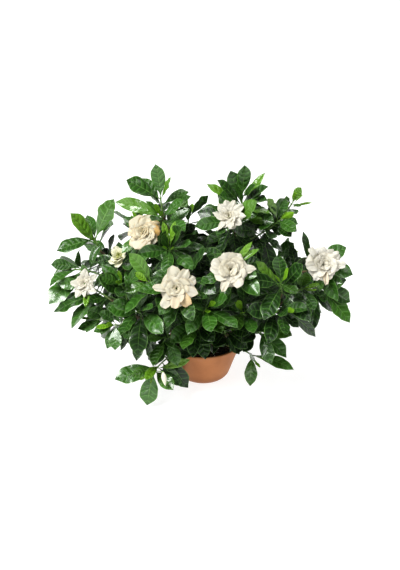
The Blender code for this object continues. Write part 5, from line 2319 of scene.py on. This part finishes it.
# The rings of petals of each habit, from the outside in.
RINGS = {habit: tuple(Ring(*row) for row in rows) for habit, rows in {
    Habit.ROSETTE: ((6, 0.9, 0.78, 56, 116, 14, 0.1, 0.0),
        (6, 0.86, 0.72, 40, 108, 16, 0.12, 0.15, 0.5),
        (6, 0.76, 0.64, 24, 96, 18, 0.16, 0.35, 0.2),
        (6, 0.66, 0.56, 12, 86, 10, 0.1, 0.5, 0.6),
        (5, 0.58, 0.52, 0.0, 76, 12, 0.1, 0.6, 0.1),
        (5, 0.48, 0.48, -10, 66, 14, 0.14, 0.7, 0.5),
        (3, 0.42, 0.44, -14, 44, 18, 0.24, 0.7, 0.3)),
    Habit.PINWHEEL: ((6, 0.88, 0.54, 56, 110, 22, -0.06, 0.0),
        (6, 0.86, 0.52, 40, 98, 24, 0.0, 0.1, 0.5),
        (6, 0.74, 0.48, 26, 84, 26, 0.06, 0.25, 0.25),
        (5, 0.64, 0.46, 12, 76, 18, 0.05, 0.4, 0.6),
        (5, 0.54, 0.44, -2, 66, 18, 0.1, 0.6, 0.1),
        (4, 0.44, 0.42, -12, 48, 20, 0.2, 0.7, 0.4)),
    Habit.OPENING: ((5, 1.6, 0.98, 16, 66, 18, 0.1, 0.1),
        (4, 1.3, 0.86, 8, 34, 20, 0.2, 0.4, 0.5),
        (3, 1.15, 0.6, -4, 8, 30, 0.4, 0.9, 0.2),
        (3, 1.05, 0.5, -6, -10, 30, 0.6, 1.0, 0.7)),
}.items()}


@dataclass
class PetalBlade(Blade):
    """A petal, one unit long and wide."""

    columns: int = 8
    rows: int = 10
    foot_share: float = 0.30
    widest: float = 0.64
    bluntness: float = 0.55
    tip_share: float = 0.10
    thickness: float = 0.012

    def share_of_width(self, along: float) -> float:
        """Return the width at a share of the length, as a share of the full width.

        Args:
            along: The share of the length.

        Returns:
            The share of the width.
        """
        if along <= self.widest:
            swell = math.sin(math.pi / 2 * along / self.widest)
            return self.foot_share + (1.0 - self.foot_share) * swell
        closing = (along - self.widest) / (1.0 - self.widest)
        return max((1.0 - closing ** 2) ** self.bluntness, self.tip_share)

    def build(self) -> None:
        """Model the petal."""
        piece = self.start()
        with editing(piece.obj):
            for row in range(self.rows + 1):
                level = row / self.rows
                share = self.share_of_width(level)
                piece.widen(lambda place: abs(place.y - level) < 10 * NEAR, (share, 1.0, 1.0),
                            (0.0, level, 0.0))
        piece.modify("SOLIDIFY", thickness=self.thickness, offset=0.0)
        self.read(piece)


@dataclass
class Blossom:
    """A double flower: rings of crumpled petals on a narrow tube, over a green calyx.

    The spread is a share of the flower's given width, and the height share squeezes or
    stretches it from top to bottom.
    """

    bloom: Bloom
    seed: int
    habit: Habit
    petal: Petal
    height_share: float
    spread: float
    tabs: tuple[Point, ...]
    # How far the petals of a ring stray from it, and how much more those at the heart do.
    stray: float = 0.2
    sizes: tuple[float, float] = (0.82, 1.05)
    widths: tuple[float, float] = (0.88, 1.12)
    foot_stray: float = 8.0
    tip_stray: float = 14.0
    heart_stray: float = 1.2
    mouth: float = 0.30
    foot_radius: float = 0.05
    ruffle: float = 0.065
    crumple: float = 0.022
    notch: float = 0.09
    # How fast each wave in a petal may run across it and along it.
    wave_rates: tuple[tuple[Point, Point], ...] = (
        ((0.9, 1.6), (-0.8, 0.8)), ((1.6, 2.6), (-1.4, 1.4)), ((-1.0, 1.0), (1.5, 2.6)))
    bend_steps: int = 40
    # The way of the tube as shares of the flower's height, and its radius at each.
    tube_shares: tuple[float, ...] = (0.0, 0.06, 0.14, 0.22, 0.32, 0.40)
    tube_radii: tuple[float, ...] = (0.0016, 0.0028, 0.0034, 0.0032, 0.0036, 0.0050)
    sepals: int = 6
    sepal_share: float = 0.16
    sepal_reach: float = 0.0030
    sepal_step: float = 0.004
    sepal_spreads: tuple[float, ...] = (0.2, 0.3, 0.45, 0.6)
    sepal_radii: tuple[float, ...] = (0.0009, 0.0008, 0.0006, 0.0002)

    def build(self, blade: PetalBlade, finishes: Finishes) -> None:
        """Model the petals and the calyx.

        Args:
            blade: The petal that they are bent from.
            finishes: The plant's materials.
        """
        self.rng = rng = random.Random(self.seed)
        facing = self.bloom.axis()
        across = Vector((0.0, 0.0, 1.0)).cross(facing).normalized()
        self.frame = np.array((across, facing.cross(across), facing))
        self.material = self.petal.make()
        petals = []
        first = rng.random()
        for ring in RINGS[self.habit]:
            for index in range(ring.count):
                stray = rng.uniform(-self.stray, self.stray) * (1.0 + ring.inner)
                angle = math.tau * (first + (index + ring.turn + stray) / ring.count)
                size = self.spread * rng.uniform(*self.sizes) * math.hypot(
                    math.cos(angle), math.sin(angle) * self.height_share)
                wilted = max(0.0, rng.uniform(-1.6, 0.5)) * self.petal.aged
                petals.append(self.lay_petal(blade, ring, angle, size, wilted))
        for tab in (Tab(*row) for row in self.tabs):
            ring = Ring(1, tab.length, tab.width, lean_foot=48.0, lean_tip=tab.lean_tip, roll=16.0,
                        cup=0.05, inner=0.0)
            petals.append(self.lay_petal(blade, ring, math.radians(tab.angle), 1.0, tab.wilted))
        settle(joined(petals, f"{self.bloom.node}_petals"), "petal", self.bloom.node)
        self.build_calyx(finishes)

    def lay_petal(self, blade: PetalBlade, ring: Ring, angle: float, size: float,
                  wilted: float) -> Object:
        """Bend a copy of the petal into its place in a ring.

        Args:
            blade: The modelled petal.
            ring: The ring that it stands in.
            angle: Where in the ring it stands.
            size: Its own share of the ring's length.
            wilted: How brown it has turned.

        Returns:
            The petal.
        """
        radius, rng = self.bloom.width / 2, self.rng
        length = radius * ring.length * size * (1.0 - self.foot_radius)
        width = radius * ring.width * rng.uniform(*self.widths)
        untidy = 1.0 + ring.inner * self.heart_stray
        lean_foot, lean_tip, roll = (
            math.radians(degrees + rng.uniform(-stray, stray) * untidy) for degrees, stray in (
                (ring.lean_foot, self.foot_stray), (ring.lean_tip, self.tip_stray),
                (ring.roll, self.tip_stray)))
        waves = [(rng.uniform(*across), rng.uniform(*along), rng.uniform(0.0, math.tau))
                 for across, along in self.wave_rates]
        steps = np.linspace(0.0, 1.0, self.bend_steps + 1)
        leans = lean_foot + (lean_tip - lean_foot) * steps ** 1.1
        outs, ups = (
            np.append(0.0, np.cumsum((part(leans[1:]) + part(leans[:-1])) / (2 * self.bend_steps)))
            for part in (np.sin, np.cos))
        along = blade.along
        lean = np.interp(along, steps, leans)
        edge = blade.across * 2.0
        swell = [np.sin(math.pi * (across_rate * edge + along_rate * along) + phase)
                 for across_rate, along_rate, phase in waves]
        rim = along ** 1.5 * (0.3 + 0.7 * np.abs(edge))
        rise = (ring.cup * edge ** 2 * width / 2 * (1.0 - along * 0.9)
                + radius * ring.length * (self.ruffle * rim * swell[0]
                                          + self.crumple * along * (swell[1] + swell[2]))
                + blade.rise * radius)
        outline = (1.0 + along ** 3 * (self.notch * rng.uniform(0.2, 1.3)
                                       * (np.abs(edge - rng.uniform(-0.3, 0.3)) - 0.5)
                                       + 0.04 * swell[1]))
        sideways = blade.across * width * (1.0 + 0.06 * swell[2])
        rolled = roll * along ** 0.7
        sideways, rise = (sideways * np.cos(rolled) - rise * np.sin(rolled),
                          sideways * np.sin(rolled) + rise * np.cos(rolled))
        out = radius * self.foot_radius + np.interp(along, steps, outs) * length * outline
        out -= rise * np.cos(lean)
        up = self.bloom.height * self.mouth + np.interp(along, steps, ups) * length * outline
        up += rise * np.sin(lean)
        local = np.stack((out * math.cos(angle) - sideways * math.sin(angle),
                          out * math.sin(angle) + sideways * math.cos(angle), up), 1)
        obj = copied(blade.obj, "petal_copy")
        reshaped(obj, np.array(self.bloom.foot()) + local @ self.frame)
        dress(obj, self.material)
        mark(obj, "inner", ring.inner)
        mark(obj, "wilted", wilted)
        return obj

    def build_calyx(self, finishes: Finishes) -> None:
        """Model the green tube under the petals, with its narrow sepals.

        Args:
            finishes: The plant's materials.
        """
        foot, facing = self.bloom.foot(), self.bloom.axis()
        height = self.bloom.height
        points = [foot + facing * height * share for share in self.tube_shares]
        pieces = [tube_along("calyx_tube", points, list(self.tube_radii), finishes.calyx, 3)]
        across = facing.orthogonal().normalized()
        for index in range(self.sepals):
            outward = Matrix.Rotation(math.tau * index / self.sepals, 3, facing) @ across
            start = foot + facing * height * self.sepal_share + outward * self.sepal_reach
            ways = [start + (facing * 0.9 + outward * spread) * self.sepal_step * step
                    for step, spread in enumerate(self.sepal_spreads)]
            pieces.append(tube_along("sepal", ways, list(self.sepal_radii), finishes.calyx, 1))
        settle(joined(pieces, f"{self.bloom.node}_calyx"), "leaf")


@dataclass
class ClosedBud:
    """A slim closed bud that hangs on a stalk from a trailing shoot."""

    shoot: str = "trailing_left"
    below: float = 0.006
    top: Point = (-0.077, -0.166, 0.096)
    tip: Point = (-0.073, -0.168, 0.067)
    radius: float = 0.0050
    rings: int = 9

    def build(self, twig: Twig, finishes: Finishes) -> None:
        """Model the stalk and the bud at its end.

        Args:
            twig: Where it hangs.
            finishes: The plant's materials.
        """
        top, tip = Vector(self.top), Vector(self.tip)
        start = twig.path.point(twig.path.length - self.below)
        stalk = tube_along("bud_stalk", [start, start.lerp(top, 0.5), top], [0.0009, 0.0008, 0.0014],
                           finishes.calyx, 1)
        shares = [step / self.rings for step in range(self.rings + 1)]
        radii = [self.radius * (0.12 + 0.88 * math.sin(math.pi * share ** 0.8)) for share in shares]
        bud = tube_along("bud_skin", [top.lerp(tip, share) for share in shares], radii,
                         Petal("petal_closed", (0.72, 0.71, 0.60, 1.0), creamy=0.3).make(), 4)
        settle(joined([stalk, bud], "closed_bud"), "petal")


# ---- studio


@dataclass
class Studio:
    """The plain pale floor, the soft lights and the camera."""

    floor_size: float = 16.0
    paper_height: float = 2.6
    target: Point = (-0.0066, 0.0, 0.203)
    distance: float = 2.217
    elevation: float = 24.0
    lens: float = 70.0
    sensor: float = 36.0
    world: float = 0.03
    sun: float = 2.62
    sun_width: float = 36.0
    # The name, place, power in watts and side of each soft square light.
    lamps: tuple[tuple[str, Point, float, float], ...] = (
        ("key_light", (-0.9, -1.0, 2.0), 32.0, 0.9), ("fill_light", (1.7, -1.3, 1.4), 6.0, 0.8),
        ("back_light", (0.5, 1.6, 2.0), 11.0, 0.9))

    def build(self) -> None:
        """Set up the studio."""
        self.lay_floor()
        self.light_world()
        sun = self.hang_light("SUN", "even_light", (-0.62, -0.55, 1.0), self.sun, (0.0, 0.0, 0.0))
        sun.angle = math.radians(self.sun_width)
        for name, place, power, size in self.lamps:
            self.hang_light("AREA", name, place, power, self.target).size = size
        self.place_camera()
        bpy.context.scene.view_settings.view_transform = "Standard"
        bpy.context.scene.view_settings.look = "Medium High Contrast"

    def lay_floor(self) -> None:
        """Lay the floor under the pot and stand a round of pale paper at its edge."""
        floor = Workpiece("studio_floor", bpy.ops.mesh.primitive_plane_add, size=self.floor_size)
        dress(floor.obj, PaleBackdrop("studio_floor").make())
        paper = Workpiece("studio_paper", bpy.ops.mesh.primitive_cylinder_add, vertices=96,
                          radius=self.floor_size * 0.49, depth=self.paper_height,
                          end_fill_type="NOTHING", location=(0.0, 0.0, self.paper_height / 2))
        with editing(paper.obj):
            bpy.ops.mesh.flip_normals()
        dress(paper.obj, PaleBackdrop("studio_paper", glow=0.85).make())
        smooth(paper.obj)

    def light_world(self) -> None:
        """Surround the plant with an even pale light."""
        world = bpy.data.worlds.new("studio_world")
        world.use_nodes = True
        background = world.node_tree.nodes["Background"]
        background.inputs["Color"].default_value = (1.0, 1.0, 1.0, 1.0)
        background.inputs["Strength"].default_value = self.world
        bpy.context.scene.world = world

    def hang_light(self, kind: str, name: str, place: Point, power: float,
                   target: Point) -> bpy.types.Light:
        """Hang a light that faces a target.

        Args:
            kind: The kind of light.
            name: Its name.
            place: Where it hangs.
            power: How strong it is.
            target: The point that it faces.

        Returns:
            The light's own settings.
        """
        bpy.ops.object.select_all(action="DESELECT")
        bpy.ops.object.light_add(type=kind, location=place)
        light = bpy.context.active_object
        light.name = light.data.name = name
        light.data.energy = power
        light.rotation_euler = (Vector(target) - Vector(place)).to_track_quat("-Z", "Y").to_euler()
        return light.data

    def place_camera(self) -> None:
        """Stand the camera in front of the plant, looking a little down on it."""
        tilt = math.radians(self.elevation)
        back = Vector((0.0, -math.cos(tilt), math.sin(tilt)))
        bpy.ops.object.camera_add(location=Vector(self.target) + back * self.distance)
        camera = bpy.context.active_object
        camera.name = camera.data.name = "studio_camera"
        camera.rotation_euler = (-back).to_track_quat("-Z", "Y").to_euler()
        camera.data.lens = self.lens
        camera.data.sensor_width = self.sensor
        bpy.context.scene.camera = camera


# ---- the whole plant

FLOWER_SEED = 500
# Each flower's habit, petals, height, spread and the petals that stand out.
FLOWERS = {
    "upper_left": (Habit.ROSETTE, Petal("petal_oldest", creamy=0.62, aged=0.35), 1.02, 1.08,
        ((4, 1.02, 0.66, 92, 1.0), (28, 1.04, 0.6, 96, 0.45), (-112, 1.14, 0.9, 84, 0.1),
         (-85, 1.14, 0.8, 84), (130, 1.02, 0.8, 90))),
    # Its fresh white is darker than the other flowers', painted shade against the stronger light on the
    # left; its cream is its own.
    "front_left": (Habit.ROSETTE, Petal("petal_creamy_painted_shade", (0.455, 0.44, 0.38, 1.0),
        creamy=0.36, aged=0.16), 1.0, 0.84,
        ((28, 1.0, 0.5), (60, 1.04, 0.46), (102, 1.02, 0.52), (180, 1.06, 0.38), (236, 1.12, 0.48),
         (268, 1.02, 0.42, 100, 0.25), (306, 1.02, 0.5, 104, 0.55), (-12, 0.98, 0.5))),
    "front_right": (Habit.ROSETTE, Petal("petal_open", (0.53, 0.51, 0.44, 1.0),
        creamy=0.24, aged=0.06), 0.84, 1.04,
        ((0, 1.12, 0.42), (-64, 1.04, 0.42, 90), (-112, 1.14, 0.36, 90, 0.1), (160, 0.98, 0.5))),
    "top": (Habit.PINWHEEL, Petal("petal_white", creamy=0.18, aged=0.03), 1.04, 0.96,
        ((36, 1.14, 0.44), (-4, 1.06, 0.4), (-38, 0.96, 0.44), (-80, 1.04, 0.48, 88),
         (-124, 1.2, 0.3, 88), (172, 0.94, 0.5), (72, 1.02, 0.5, 80), (104, 0.98, 0.55, 76),
         (138, 0.98, 0.5, 84))),
    # Its fresh white is lighter than the other flowers', painted light against the weaker light on the
    # right.
    "right": (Habit.ROSETTE, Petal("petal_right_painted_light", (0.62, 0.6, 0.525, 1.0),
        creamy=0.12, aged=0.05), 0.9, 1.12,
        ((134, 1.3, 0.34, 84), (-8, 1.16, 0.4), (28, 1.04, 0.42), (-96, 1.16, 0.26, 92, 0.4),
         (-130, 0.98, 0.42), (178, 0.96, 0.4))),
    "left": (Habit.PINWHEEL, Petal("petal_left", creamy=0.16, aged=0.04), 1.0, 0.88,
        ((38, 1.1, 0.42), (-26, 1.06, 0.46), (-74, 1.0, 0.4), (-112, 1.1, 0.44), (92, 1.02, 0.5),
         (186, 0.98, 0.46))),
    # Its petals are paler than the open flowers', painted light against the shade that the leaves over
    # it cast.
    "bud": (Habit.OPENING, Petal("petal_bud_painted_light", (0.88, 0.87, 0.62, 1.0),
        creamy=0.3, aged=0.0, throat=(0.42, 0.5, 0.05, 1.0), throat_share=0.5, green_heart=0.7), 1.0,
        1.1,
        ((-80, 1.5, 0.9, 86), (-130, 1.6, 0.8, 80), (130, 1.6, 0.9, 60))),
}


def build_flowers(finishes: Finishes) -> None:
    """Model every flower at the end of its shoot.

    Args:
        finishes: The plant's materials.
    """
    round_petal = PetalBlade("petal_round")
    pointed_petal = PetalBlade("petal_pointed", widest=0.52, bluntness=0.80, tip_share=0.08)
    for blade in (round_petal, pointed_petal):
        blade.build()
    blades = {Habit.ROSETTE: round_petal, Habit.PINWHEEL: pointed_petal,
              Habit.OPENING: round_petal}
    for index, shoot in enumerate(shoot for shoot in SHOOTS if shoot.bloom):
        blossom = Blossom(shoot.bloom, FLOWER_SEED + index, *FLOWERS[shoot.bloom.name])
        blossom.build(blades[blossom.habit], finishes)
    for blade in (round_petal, pointed_petal):
        bpy.data.objects.remove(blade.obj)


def main() -> None:
    """Build the plant, piece by piece, and its studio."""
    logging.basicConfig(level=logging.INFO, format="%(message)s")
    finishes = Finishes()
    pot = Pot()
    pot.build(finishes)
    PottingSoil(pot).build(finishes)
    growth = Growth()
    growth.grow()
    Foliage(growth, finishes).build()
    build_flowers(finishes)
    bud = ClosedBud()
    bud.build(next(twig for twig in growth.twigs if twig.shoot.name == bud.shoot), finishes)
    Studio().build()


if __name__ == "__main__":
    main()
